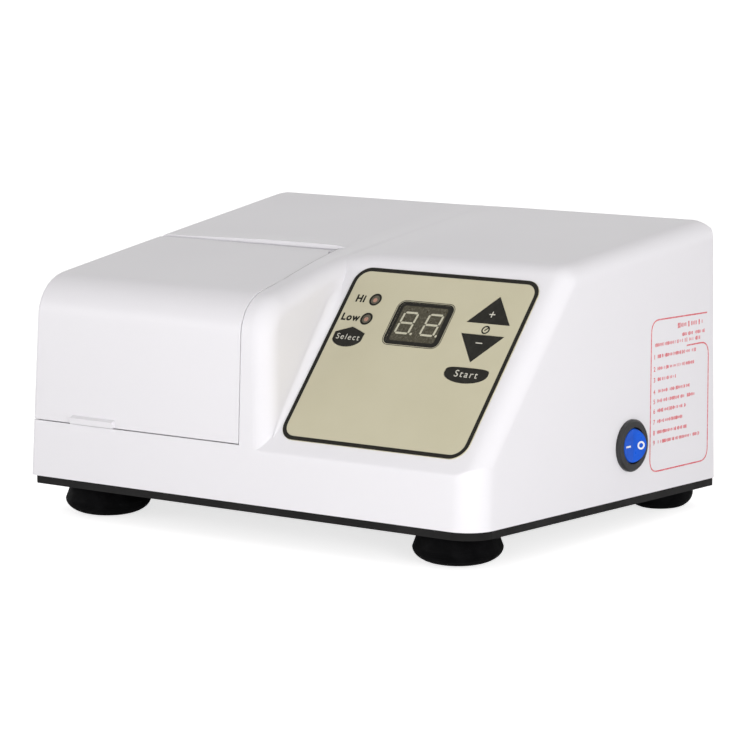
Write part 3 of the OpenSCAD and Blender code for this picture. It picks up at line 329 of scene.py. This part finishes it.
# Control board
# Green glass-fibre board, screwed on white nylon posts behind the sloped face. The
# click switches and the display's block, in black nylon, are soldered to it.
board_green = new_finish("board_green", (0.012, 0.12, 0.045), 0.3)
add_mottle(board_green, (0.02, 0.17, 0.06), 0.0015, 0.55, 0.6)
add_grain(board_green, 0.0006, 0.00002, 0.6)
give_finish(board_green, "control_board")
nylon = new_finish("white_nylon", (0.72, 0.71, 0.67), 0.45)
add_mottle(nylon, (0.66, 0.65, 0.6), 0.003)
add_grain(nylon, 0.0006, 0.00002, 0.5)
give_finish(nylon, "board_standoffs")
give_finish(black_nylon, "key_switches", "display_module")

# Mains inlet and fuse
# A black moulded appliance socket, screwed to the back with two screws. Beside it is
# a fuse holder, and a coin slot in its cap turns the cap a quarter.
black_plastic = new_finish("black_moulding", (0.016, 0.016, 0.017), 0.34)
add_mottle(black_plastic, (0.028, 0.028, 0.03), 0.008)
add_sheen_drift(black_plastic, 0.004, 0.28, 0.44)
add_grain(black_plastic, 0.0006, 0.00003, 0.5)
give_finish(black_plastic, "power_inlet", "fuse_holder", "fuse_cap")


# Housing cover
# Glossy white plastic, moulded in one piece with the hump over the chamber and the
# sloped control face. Its skin has a faint waviness, and every edge is rounded.
def round_facets(piece, angle):
    """Joins the loose triangles and shades gentle edges as one round surface."""
    tree = bpy.data.node_groups.new("round_facets", "GeometryNodeTree")
    tree.interface.new_socket("Geometry", in_out="INPUT", socket_type="NodeSocketGeometry")
    limit = tree.interface.new_socket("Sharpest round edge", in_out="INPUT", socket_type="NodeSocketFloat")
    tree.interface.new_socket("Geometry", in_out="OUTPUT", socket_type="NodeSocketGeometry")
    source = tree.nodes.new("NodeGroupInput")
    bare = tree.nodes.new("GeometryNodeRemoveAttribute")
    bare.inputs["Name"].default_value = "custom_normal"
    joined = tree.nodes.new("GeometryNodeMergeByDistance")
    joined.inputs["Distance"].default_value = 0.00001
    edge = tree.nodes.new("GeometryNodeInputMeshEdgeAngle")
    sharp = tree.nodes.new("FunctionNodeCompare")
    sharp.operation = "GREATER_THAN"
    faces = tree.nodes.new("GeometryNodeSetShadeSmooth")
    faces.domain = "FACE"
    edges = tree.nodes.new("GeometryNodeSetShadeSmooth")
    edges.domain = "EDGE"
    edges.inputs["Shade Smooth"].default_value = False
    result = tree.nodes.new("NodeGroupOutput")
    tree.links.new(source.outputs[0], bare.inputs["Geometry"])
    tree.links.new(bare.outputs[0], joined.inputs["Geometry"])
    tree.links.new(joined.outputs[0], faces.inputs["Geometry"])
    tree.links.new(faces.outputs[0], edges.inputs["Geometry"])
    tree.links.new(edge.outputs["Unsigned Angle"], sharp.inputs[0])
    tree.links.new(source.outputs[1], sharp.inputs[1])
    tree.links.new(sharp.outputs[0], edges.inputs["Selection"])
    tree.links.new(edges.outputs[0], result.inputs[0])
    rounding = piece.modifiers.new("round_facets", "NODES")
    rounding.node_group = tree
    rounding[limit.identifier] = radians(angle)
    weighted = piece.modifiers.new("flat_faces_stay_flat", "WEIGHTED_NORMAL")
    weighted.keep_sharp = True
    weighted.weight = 80


white_gloss = new_finish("white_gloss_plastic", (0.81, 0.8, 0.825), 0.3)
add_mottle(white_gloss, (0.8, 0.79, 0.815), 0.09, 0.3, 0.8)
add_sheen_drift(white_gloss, 0.05, 0.28, 0.32)
add_grain(white_gloss, 0.0005, 0.000002, 0.25)
give_finish(white_gloss, "cover", "lid")
round_facets(nodes["cover"], angle=24)


def moulded(name, points, faces, sharp):
    """A moulded detail of the cover; points in mm, edges over the sharp angle stay crisp."""
    mesh = bpy.data.meshes.new(name)
    mesh.from_pydata([Vector(point) * MM for point in points], [], faces)
    skin = bmesh.new()
    skin.from_mesh(mesh)
    bmesh.ops.recalc_face_normals(skin, faces=skin.faces)
    skin.to_mesh(mesh)
    skin.free()
    mesh.transform(housing)
    mesh.polygons.foreach_set("use_smooth", [True] * len(mesh.polygons))
    mesh.set_sharp_from_angle(angle=radians(sharp))
    mesh.materials.append(white_gloss)
    piece = bpy.data.objects.new(name, mesh)
    scene.collection.objects.link(piece)
    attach(piece, "housing")
    return piece


def swept(rows):
    """Points and faces of a closed bar through rows of points that go round it."""
    count = len(rows[0])
    points = [point for row in rows for point in row]
    faces = [(k * count + j, k * count + (j + 1) % count,
              (k + 1) * count + (j + 1) % count, (k + 1) * count + j)
             for k in range(len(rows) - 1) for j in range(count)]
    ends = [tuple(reversed(range(count))), tuple(range(len(points) - count, len(points)))]
    return points, faces + ends


# The hollow between the cheek and the sloped face runs out at both of its ends. The
# keys travel square to the sloped face, which gives its slope.
joints = {joint["name"]: joint for joint in frame["joints"]}
press = housing.inverted().to_3x3() @ Vector(joints["up_key_press"]["axis"])
slope, front_draft, crease_z = atan2(press.y, -press.z), radians(2.4), 23.6
crease_y = crease_z * tan(front_draft)
cheek_foot, cheek_draft, cheek_length = 138.946, 0.0471, 0.9989
cove_x, cove_low, cove_high = 140.0, 29, 91
cove_steps, cove_fade, cove_arc, cove_thin, cove_depth = 24, 4, 14, 0.1, 0.3
off_slope = Vector((0, -sin(slope), cos(slope)))
cove_rows = []
for k in range(cove_steps + 1):
    z = cove_low + (cove_high - cove_low) * k / cove_steps
    fade = min(1, k / cove_fade, (cove_steps - k) / cove_fade)
    cheek_at = (cheek_foot - cheek_draft * z) / cheek_length
    r = cove_thin + (cove_x - cheek_at - cove_thin) * sin(fade * pi / 2)
    corner = Vector((cheek_at, crease_y + (z - crease_z) / tan(slope), z))
    middle = corner + Vector((r, 0, 0)) + off_slope * r
    row = [middle - Vector((r * cos(a), 0, 0)) - off_slope * r * sin(a)
           for a in [pi / 2 * j / cove_arc for j in range(cove_arc + 1)]]
    cove_rows.append(row + [corner - Vector((cove_depth, 0, 0)) - off_slope * cove_depth])
moulded("cheek_cove", *swept(cove_rows), sharp=40)
# The deck stands a little over the lid's rear edge, more so towards its right end.
deck_y, deck_z, deck_rise = 88.12, 102.66, 0.1563
riser_x0, riser_x1, riser_steps, riser_reach = 6, 116, 36, 16
riser_h, riser_thin, riser_grows, riser_fades = 1.4, 0.02, 62, 9
riser_front_floor, riser_rear_floor, riser_slices = 102.2, 104.6, 8
riser_rows = []
for k in range(riser_steps + 1):
    x = riser_x0 + (riser_x1 - riser_x0) * k / riser_steps
    h = riser_thin + riser_h * min(1, (x - riser_x0) / riser_grows) * min(1, (riser_x1 - x) / riser_fades)
    deck = [(deck_y + riser_reach * j / riser_slices, (1 - j / riser_slices) ** 2)
            for j in range(riser_slices + 1)]
    row = [(x, y, deck_z + deck_rise * (y - deck_y) + h * share) for y, share in deck]
    riser_rows.append(row + [(x, deck_y + riser_reach, riser_rear_floor), (x, deck_y, riser_front_floor)])
moulded("deck_riser", *swept(riser_rows), sharp=40)
# A web fills the notch at the lid's rear corner; it is round about the hinge.
hinge_y, hinge_z = (housing.inverted() @ Vector(joints["lid_hinge"]["pos_m"]) / MM).yz
web_x, web_w, web_steps, web_arc, web_floor, web_rear = 107.95, 2.75, 8, 24, 98.6, 3.3
web_least_r, web_most_r, web_flare = 2.9, 5.25, 1.15
skin_h, skin_rise = 2.866, 0.157
web_rows = []
for k in range(web_steps + 1):
    x = web_x + web_w * k / web_steps
    r = min(web_most_r, web_least_r + (x - web_x) * web_flare)
    arc = [r * cos(pi - pi * j / web_arc) for j in range(web_arc + 1)]
    top = [(x, hinge_y + d, hinge_z + min(sqrt(max(0, r * r - d * d)), skin_h + skin_rise * d))
           for d in arc if d < web_rear]
    web_rows.append((top, [(x, hinge_y + min(r, web_rear), web_floor), (x, hinge_y - r, web_floor)]))
count = min(len(top) for top, foot in web_rows)
moulded("corner_web", *swept([top[:count] + foot for top, foot in web_rows]), sharp=30)
# A fine grey strip along the lid's seam on top of the hump is painted shade: it stands
# for the shadow in the gap between lid and cover. The hump rises in two straight runs
# there, with a slight bow at their front.
seam_shade_grey = new_finish("painted_seam_shade", (0.5, 0.49, 0.5), 0.6)
add_mottle(seam_shade_grey, (0.45, 0.44, 0.45), 0.004)
add_grain(seam_shade_grey, 0.0006, 0.00001, 0.4)
seam_shade_y0, seam_shade_y1, seam_shade_step, seam_shade_w, seam_shade_thin, seam_shade_grows = 34, 88, 4, 0.38, 0.095, 8
seam_shade_sunk, left_proud, right_proud = 0.2, 0.03, 0.08
seam_x, seam_y, seam_taper = 122.5, 24, 0.217
ease_y, ease_z, front_rise, rear_rise, bow_y, bow = 64, 99.44, 0.1675, 0.1325, 44, 0.0021
seam_shade_rows = []
for y in (*range(seam_shade_y0, seam_shade_y1, seam_shade_step), seam_shade_y1):
    rise = front_rise if y < ease_y else rear_rise
    z = ease_z + rise * (y - ease_y) - bow * max(0, bow_y - y) ** 2
    left = seam_x - seam_taper * (y - seam_y)
    right = left + min(seam_shade_w, seam_shade_thin + seam_shade_w * (y - seam_shade_y0) / seam_shade_grows)
    seam_shade_rows.append([(left, y, z - seam_shade_sunk), (right, y, z - seam_shade_sunk),
                      (right, y, z + right_proud), (left, y, z + left_proud)])
seam_shade = moulded("painted_seam_shade_line", *swept(seam_shade_rows), sharp=30)
# The strip's grey is painted shade, the shadow in the seam's gap.
seam_shade.data.materials[0] = seam_shade_grey

# Lid
# Moulded like the cover, in the same white, with a finger lip at the bottom of its front
# and a barrel along its rear edge that turns on two pins.
round_facets(nodes["lid"], angle=24)


# Control panel
# A printed polyester film glued into the sloped face, beige with a dark border.
# The printing is a thin layer on it, so every mark is a thin cut sheet of ink.
def box_of(name, place):
    """The low and the high corner of a CAD node in mm, as measured from a place."""
    into = place.inverted()
    points = [into @ vertex.co / MM for vertex in nodes[name].data.vertices]
    return [Vector([pick(point[axis] for point in points) for axis in range(3)]) for pick in (min, max)]


along_slope = housing @ Matrix.Rotation(slope, 4, "X")
film_low, film_high = box_of("control_overlay", along_slope)
panel = along_slope @ Matrix.Translation(film_low * MM)
panel_w, panel_h, film = film_high - film_low
panel_r, ink_t = 8.0, 0.05


def rounded_outline(x0, y0, x1, y1, r, steps=8):
    """Points round a rectangle with round corners, in mm."""
    corners = ((x1 - r, y1 - r, 0), (x0 + r, y1 - r, 90), (x0 + r, y0 + r, 180), (x1 - r, y0 + r, 270))
    return [(x + r * cos(radians(a + 90 * k / steps)), y + r * sin(radians(a + 90 * k / steps)))
            for x, y, a in corners for k in range(steps + 1)]


def circle_outline(x, y, r, steps=40):
    """Points round a circle, in mm."""
    return [(x + r * cos(2 * pi * k / steps), y + r * sin(2 * pi * k / steps)) for k in range(steps)]


def into_mesh(flat, place, low, high, ink, body):
    """Makes a mesh of a flat curve or of lettering, lays it in its place and hands it to a body."""
    scene.collection.objects.link(flat)
    bpy.context.view_layer.update()
    mesh = bpy.data.meshes.new_from_object(flat.evaluated_get(bpy.context.evaluated_depsgraph_get()))
    name = flat.name
    bpy.data.objects.remove(flat)
    piece = bpy.data.objects.new(name, mesh)
    scene.collection.objects.link(piece)
    mesh.transform(place @ Matrix.Translation((0, 0, (low + high) / 2 * MM)))
    mesh.materials.clear()
    mesh.materials.append(ink)
    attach(piece, body)


def cut_sheet(name, outlines, place, low, high, ink, body="housing"):
    """A thin sheet cut to closed outlines in mm; an outline inside another is a hole."""
    curve = bpy.data.curves.new(name, "CURVE")
    curve.dimensions = "2D"
    curve.fill_mode = "BOTH"
    curve.extrude = (high - low) / 2 * MM
    for outline in outlines:
        spline = curve.splines.new("POLY")
        spline.points.add(len(outline) - 1)
        for point, (x, y) in zip(spline.points, outline):
            point.co = (x * MM, y * MM, 0, 1)
        spline.use_cyclic_u = True
    into_mesh(bpy.data.objects.new(name, curve), place, low, high, ink, body)


def lettering(name, words, x, y, size, place, low, high, ink, body="housing", bold=0.0, spread=1.0):
    """Printed words, centred on x and y in mm."""
    font = bpy.data.curves.new(name, "FONT")
    font.body = words
    font.align_x = "CENTER"
    font.align_y = "CENTER"
    font.size = size * MM
    font.offset = bold * MM
    font.space_character = spread
    font.extrude = (high - low) / 2 * MM
    at = place @ Matrix.Translation((x * MM, y * MM, 0))
    into_mesh(bpy.data.objects.new(name, font), at, low, high, ink, body)


def print_on_film(name, outlines, ink, body="housing"):
    """A printed mark on top of the panel's film."""
    cut_sheet(name, outlines, panel, film, film + ink_t, ink, body)


def word_on_film(name, words, x, y, size, ink, body="housing", bold=0.0, spread=1.0):
    """A printed word on top of the panel's film."""
    lettering(name, words, x, y, size, panel, film, film + ink_t, ink, body, bold, spread)


beige_film = new_finish("beige_film", (0.56, 0.525, 0.375), 0.42)
add_mottle(beige_film, (0.54, 0.505, 0.355), 0.03)
add_sheen_drift(beige_film, 0.008, 0.38, 0.48)
add_grain(beige_film, 0.0004, 0.00001, 0.5)
give_finish(beige_film, "control_overlay")

dark_ink = new_finish("dark_ink", (0.012, 0.011, 0.008), 0.45, gloss=0.12)
add_mottle(dark_ink, (0.017, 0.016, 0.012), 0.002)
add_grain(dark_ink, 0.0004, 0.00001, 0.5)
pale_ink = new_finish("pale_ink", (0.66, 0.64, 0.55), 0.45)
add_mottle(pale_ink, (0.58, 0.56, 0.48), 0.002)
add_grain(pale_ink, 0.0004, 0.00001, 0.5)

edge_in, border_in = 0.05, 2.0
print_on_film("panel_border", [
    rounded_outline(edge_in, edge_in, panel_w - edge_in, panel_h - edge_in, panel_r),
    rounded_outline(border_in, border_in, panel_w - border_in, panel_h - border_in,
                    panel_r - border_in)], dark_ink)
window_low, window_high = box_of("display_window", panel)
window_r = 2.5


def round_window(sides, ends, r):
    """The window's outline, wider by so much at its sides and at its ends."""
    return rounded_outline(window_low.x - sides, window_low.y - ends,
                           window_high.x + sides, window_high.y + ends, r)


print_on_film("window_outline", [round_window(2.0, 1.1, 4.0), round_window(1.7, 0.8, 3.7)], dark_ink)
print_on_film("window_surround", [round_window(1.35, 0.5, 3.4), round_window(0, 0, window_r)], dark_ink)

# Speed lamps
# Two small lamps under clear moulded lenses that are set flush in the film, each in
# a dark printed ring. While off they are dull, with a reddish chip in the middle.
lamp_lens = new_finish("lamp_lens", (0.075, 0.068, 0.045), 0.3, gloss=0.3)
add_mottle(lamp_lens, (0.13, 0.115, 0.08), 0.0012, 0.4, 0.65)
add_grain(lamp_lens, 0.0005, 0.00004, 0.6)
lamp_core = new_finish("lamp_core", (0.5, 0.235, 0.16), 0.4)
add_mottle(lamp_core, (0.3, 0.18, 0.13), 0.0006, 0.4, 0.65)
give_finish(lamp_lens, "led_lenses")
lenses_low, lenses_high = box_of("led_lenses", panel)
lens_out = (lenses_high.x - lenses_low.x) / 2
lamp_x = lenses_low.x + lens_out
lamp_heights = {"low": lenses_low.y + lens_out, "high": lenses_high.y - lens_out}
ring_r, ring_in, core_r, core_sides, core_x, core_y = 3.15, 2.25, 1.15, 9, -0.1, -0.2
inlay_low, inlay_high = film - 0.1, film - 0.07
for which, y in lamp_heights.items():
    print_on_film(f"lamp_ring_{which}", [circle_outline(lamp_x, y, ring_r),
                                         circle_outline(lamp_x, y, ring_in)], dark_ink)
    cut_sheet(f"lamp_core_{which}", [circle_outline(lamp_x + core_x, y + core_y, core_r, core_sides)],
              panel, inlay_low, inlay_high, lamp_core)
label_size, label_bold = 5.0, 0.2
word_on_film("high_label", "Hi", 8.9, lamp_heights["high"] - 0.2, label_size, dark_ink,
             bold=label_bold, spread=1.15)
word_on_film("low_label", "Low", 8.1, lamp_heights["low"], label_size, dark_ink,
             bold=label_bold, spread=1.18)

# Display
# Two seven-segment digits behind a smoked window that is glued into the film. While
# off, the segments show only as pale strokes.
smoked = new_finish("smoked_window", (0.046, 0.04, 0.02), 0.35, gloss=0.3)
add_mottle(smoked, (0.1, 0.09, 0.06), 0.0009, 0.48, 0.66)
add_sheen_drift(smoked, 0.003, 0.22, 0.4)
add_grain(smoked, 0.0006, 0.00001, 0.5)
give_finish(smoked, "display_window")
segment_pale = new_finish("unlit_segment", (0.56, 0.54, 0.41), 0.5)
add_mottle(segment_pale, (0.46, 0.44, 0.33), 0.001)
frame_w, frame_r, frame_t = 1.5, 1.4, 0.05
cut_sheet("window_frame", [round_window(0, 0, window_r), round_window(-frame_w, -frame_w, frame_r)],
          panel, inlay_low, inlay_low + frame_t, dark_ink)
digit_w, digit_h, stroke_w, digit_y, digit_lean = 7.2, 10.6, 1.0, 58.5, 0.08
flat_tip, flat_end, tall_tip, tall_end = 0.35, 0.75, 0.25, 0.6
dot_x, dot_r = 1.6, 0.6
half_h, half_w = digit_h / 2, stroke_w / 2
for number, digit_x in enumerate((34.9, 48.4)):
    strokes = []
    for y in (0, half_h, digit_h):
        strokes.append([(flat_end, y - half_w), (digit_w - flat_end, y - half_w), (digit_w - flat_tip, y),
                        (digit_w - flat_end, y + half_w), (flat_end, y + half_w), (flat_tip, y)])
    for y in (0, half_h):
        for x in (0, digit_w):
            strokes.append([(x - half_w, y + tall_end), (x, y + tall_tip), (x + half_w, y + tall_end),
                            (x + half_w, y + half_h - tall_end), (x, y + half_h - tall_tip),
                            (x - half_w, y + half_h - tall_end)])
    strokes.append(circle_outline(digit_w + dot_x, 0, dot_r, 16))
    cut_sheet(f"digit_{number + 1}",
              [[(digit_x + x + digit_lean * y, digit_y + y) for x, y in points] for points in strokes],
              panel, inlay_low, inlay_high, segment_pale)

# Membrane keys
# Each key is a part of the film that is pressed up from behind, over a click switch.
# It is printed dark, with its sign or word left in pale ink.
key_film = new_finish("dark_key_film", (0.014, 0.013, 0.01), 0.42, gloss=0.12)
add_mottle(key_film, (0.021, 0.02, 0.016), 0.003)
add_sheen_drift(key_film, 0.004, 0.3, 0.44)
add_grain(key_film, 0.0004, 0.00001, 0.5)
give_finish(key_film, "key_up", "key_down", "key_select", "key_start")
plus_x, plus_y, minus_x, minus_y, minus_half = 80.9, 71.9, 80.8, 57.2, 1.7
arm, thin = 1.5, 0.25
print_on_film("plus_sign", [[(plus_x + x, plus_y + y) for x, y in (
    (-arm, -thin), (-thin, -thin), (-thin, -arm), (thin, -arm), (thin, -thin), (arm, -thin),
    (arm, thin), (thin, thin), (thin, arm), (-thin, arm), (-thin, thin), (-arm, thin))]],
    pale_ink, "up_key")
print_on_film("minus_sign", [rounded_outline(minus_x - minus_half, minus_y - thin, minus_x + minus_half,
                                             minus_y + thin, 0.1, 2)], pale_ink, "down_key")
word_on_film("start_word", "Start", 81.6, 41.2, 4.8, pale_ink, "start_key", spread=1.3)
word_on_film("select_word", "Select", 11.7, 53.8, 4.1, pale_ink, "select_key", spread=1.28)
clock_x, clock_y, clock_r, clock_in = 81.1, 64.0, 2.1, 1.4
clock_hand = ((-0.6, -0.2), (-0.2, -0.7), (1.2, 0.9), (0.8, 1.3))
print_on_film("clock_ring", [circle_outline(clock_x, clock_y, clock_r),
                             circle_outline(clock_x, clock_y, clock_in)], dark_ink)
print_on_film("clock_hand", [[(clock_x + x, clock_y + y) for x, y in clock_hand]], dark_ink)

# Power switch
# A round rocker in a black bezel that snaps into the right wall. The rocker is blue
# nylon with its two signs filled in white.
turned_right = Matrix(((0, 0, 1, 0), (1, 0, 0, 0), (0, 1, 0, 0), (0, 0, 0, 1)))
right_side = housing @ Matrix.Translation((right_wall - left_wall, 0, 0)) @ turned_right
give_finish(black_plastic, "switch_bezel")
blue_nylon = new_finish("blue_rocker", (0.006, 0.098, 0.62), 0.34, gloss=0.3)
add_mottle(blue_nylon, (0.005, 0.08, 0.52), 0.003)
add_sheen_drift(blue_nylon, 0.003, 0.26, 0.4)
add_grain(blue_nylon, 0.0005, 0.00002, 0.5)
give_finish(blue_nylon, "switch_rocker")
white_ink = new_finish("white_ink", (0.8, 0.8, 0.8), 0.4)
add_mottle(white_ink, (0.72, 0.72, 0.73), 0.001)
tipping = joints["power_rocker"]
pivot = right_side.inverted() @ Vector(tipping["pos_m"])
half_tip, face_h = radians(tipping["range_deg"][1] / 2), 2.9
rocker = right_side @ Matrix.Translation(pivot) @ Matrix.Rotation(-half_tip, 4, "Y")
ridge = rocker @ Matrix.Translation((0, 0, face_h * MM))
front_half = ridge @ Matrix.Rotation(half_tip, 4, "Y")
rear_half = ridge @ Matrix.Rotation(-half_tip, 4, "Y")
bar_x0, bar_x1, bar_half, bar_r = -5.4, -1.9, 0.42, 0.15
off_x, off_r, off_in = 4.0, 1.85, 1.05
cut_sheet("on_sign", [rounded_outline(bar_x0, -bar_half, bar_x1, bar_half, bar_r, 3)], front_half, 0,
          ink_t, white_ink, "rocker")
cut_sheet("off_sign", [circle_outline(off_x, 0, off_r), circle_outline(off_x, 0, off_in)], rear_half, 0,
          ink_t, white_ink, "rocker")

# Side print
# A red frame with numbered lines of small print, screen printed on the right wall.
# The ink is thin, and rubbed a little through in places.
red_ink = new_finish("red_screen_print", (0.66, 0.08, 0.1), 0.42)
add_mottle(red_ink, (0.74, 0.3, 0.32), 0.0012, 0.42, 0.68)
add_grain(red_ink, 0.0004, 0.00001, 0.4)


def stroke_along(points, width):
    """The outline of a line of even width through the points, in mm."""
    left, right = [], []
    for k, (x, y) in enumerate(points):
        before = Vector(points[max(k - 1, 0)])
        after = Vector(points[min(k + 1, len(points) - 1)])
        side = (after - before).normalized().orthogonal() * width / 2
        left.append((x + side.x, y + side.y))
        right.append((x - side.x, y - side.y))
    return left + right[::-1]


def rounded_path(points, r, steps=6):
    """A path through the points with its corners cut round."""
    path = [points[0]]
    for a, b, c in zip(points, points[1:], points[2:]):
        a, b, c = Vector(a), Vector(b), Vector(c)
        reach = min(r, (a - b).length / 2, (c - b).length / 2)
        p, q = b + (a - b).normalized() * reach, b + (c - b).normalized() * reach
        for k in range(steps + 1):
            t = k / steps
            path.append(tuple(p * (1 - t) ** 2 + b * 2 * t * (1 - t) + q * t * t))
    return path + [points[-1]]


red_t, line_w, corner_r = 0.04, 0.65, 6
frame_path = rounded_path([(174.8, 75.8), (130.3, 76.4), (129.8, 9.0), (176.2, 9.0), (176.2, 62.6),
                           (158.5, 62.6)], corner_r)
cut_sheet("print_frame", [stroke_along(frame_path, line_w)], right_side, 0, red_t, red_ink)
number_y, number_drop, number_size, words_y = 132.9, 0.2, 2.9, 135.2
rows = ((60.1, 167), (54.7, 164.6), (49.9, 150), (44.6, 161.5), (40.3, 165.7), (36.0, 159.3),
        (31.2, 156), (26.4, 159.5), (22.0, 170))
for number, (z, end) in enumerate(rows):
    lettering(f"row_number_{number + 1}", str(number + 1), number_y, z - number_drop, number_size,
              right_side, 0, red_t, red_ink, bold=0.05)


def printed_words_tree(gap_share, widths, rises):
    """Short bars of ink in a row, with gaps between them, as lines of small print look."""
    tree = bpy.data.node_groups.new("printed_words", "GeometryNodeTree")
    tree.interface.new_socket("Geometry", in_out="INPUT", socket_type="NodeSocketGeometry")
    names = ("Bars", "Pitch", "Bar height", "Ink thickness", "Seed", "Ink")
    kinds = ("Int", "Float", "Float", "Float", "Int", "Material")
    sockets = [tree.interface.new_socket(n, in_out="INPUT", socket_type=f"NodeSocket{k}")
               for n, k in zip(names, kinds)]
    tree.interface.new_socket("Geometry", in_out="OUTPUT", socket_type="NodeSocketGeometry")
    source = tree.nodes.new("NodeGroupInput")
    step = tree.nodes.new("ShaderNodeCombineXYZ")
    line = tree.nodes.new("GeometryNodeMeshLine")
    gap = tree.nodes.new("FunctionNodeRandomValue")
    gap.data_type = "BOOLEAN"
    gap.inputs["Probability"].default_value = gap_share
    kept = tree.nodes.new("GeometryNodeDeleteGeometry")
    width = tree.nodes.new("FunctionNodeRandomValue")
    width.inputs["Min"].default_value, width.inputs["Max"].default_value = widths
    rise = tree.nodes.new("FunctionNodeRandomValue")
    rise.inputs["Min"].default_value, rise.inputs["Max"].default_value = rises
    wide = tree.nodes.new("ShaderNodeMath")
    wide.operation = "MULTIPLY"
    tall = tree.nodes.new("ShaderNodeMath")
    tall.operation = "MULTIPLY"
    size = tree.nodes.new("ShaderNodeCombineXYZ")
    bar = tree.nodes.new("GeometryNodeMeshCube")
    bar.inputs["Size"].default_value = (1, 1, 1)
    put = tree.nodes.new("GeometryNodeInstanceOnPoints")
    real = tree.nodes.new("GeometryNodeRealizeInstances")
    inked = tree.nodes.new("GeometryNodeSetMaterial")
    result = tree.nodes.new("NodeGroupOutput")
    for a, b in ((source.outputs["Bars"], line.inputs["Count"]),
                 (source.outputs["Pitch"], step.inputs["X"]),
                 (step.outputs[0], line.inputs["Offset"]),
                 (line.outputs[0], kept.inputs["Geometry"]),
                 (source.outputs["Seed"], gap.inputs["Seed"]),
                 (gap.outputs[3], kept.inputs["Selection"]),
                 (source.outputs["Seed"], width.inputs["Seed"]),
                 (source.outputs["Seed"], rise.inputs["Seed"]),
                 (width.outputs[1], wide.inputs[0]), (source.outputs["Pitch"], wide.inputs[1]),
                 (rise.outputs[1], tall.inputs[0]), (source.outputs["Bar height"], tall.inputs[1]),
                 (wide.outputs[0], size.inputs["X"]), (tall.outputs[0], size.inputs["Y"]),
                 (source.outputs["Ink thickness"], size.inputs["Z"]),
                 (kept.outputs[0], put.inputs["Points"]), (bar.outputs[0], put.inputs["Instance"]),
                 (size.outputs[0], put.inputs["Scale"]), (put.outputs[0], real.inputs[0]),
                 (real.outputs[0], inked.inputs["Geometry"]),
                 (source.outputs["Ink"], inked.inputs["Material"]),
                 (inked.outputs[0], result.inputs[0])):
        tree.links.new(a, b)
    return tree, [s.identifier for s in sockets]


words_tree, words_sockets = printed_words_tree(gap_share=0.2, widths=(0.4, 0.85), rises=(0.5, 1.0))


def printed_words(name, start, end, z, pitch, bar_h, seed):
    """One line of small print on the right wall, from start to end in mm."""
    seat = bpy.data.objects.new(name, bpy.data.meshes.new(name))
    scene.collection.objects.link(seat)
    printing = seat.modifiers.new("printed_words", "NODES")
    printing.node_group = words_tree
    values = (int((end - start) / pitch), pitch * MM, bar_h * MM, red_t * MM, seed, red_ink)
    for socket, value in zip(words_sockets, values):
        printing[socket] = value
    bpy.context.view_layer.update()
    mesh = bpy.data.meshes.new_from_object(seat.evaluated_get(bpy.context.evaluated_depsgraph_get()))
    bpy.data.objects.remove(seat)
    middle_t = red_t / 2
    mesh.transform(right_side @ Matrix.Translation(((start + pitch / 2) * MM, z * MM, middle_t * MM)))
    piece = bpy.data.objects.new(name, mesh)
    scene.collection.objects.link(piece)
    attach(piece, "housing")


row_pitch, row_bar_h, row_seed, heading_seed = 0.7, 1.7, 3, 21
for number, (z, end) in enumerate(rows):
    printed_words(f"row_words_{number + 1}", words_y, end, z, row_pitch, row_bar_h, number + row_seed)
headings = ((151, 173, 72.2, 1.2, 2.6), (153, 173, 67.9, 0.8, 1.8), (133, 170, 65.2, 0.7, 1.9))
for number, heading in enumerate(headings):
    printed_words(f"heading_words_{number + 1}", *heading, number + heading_seed)
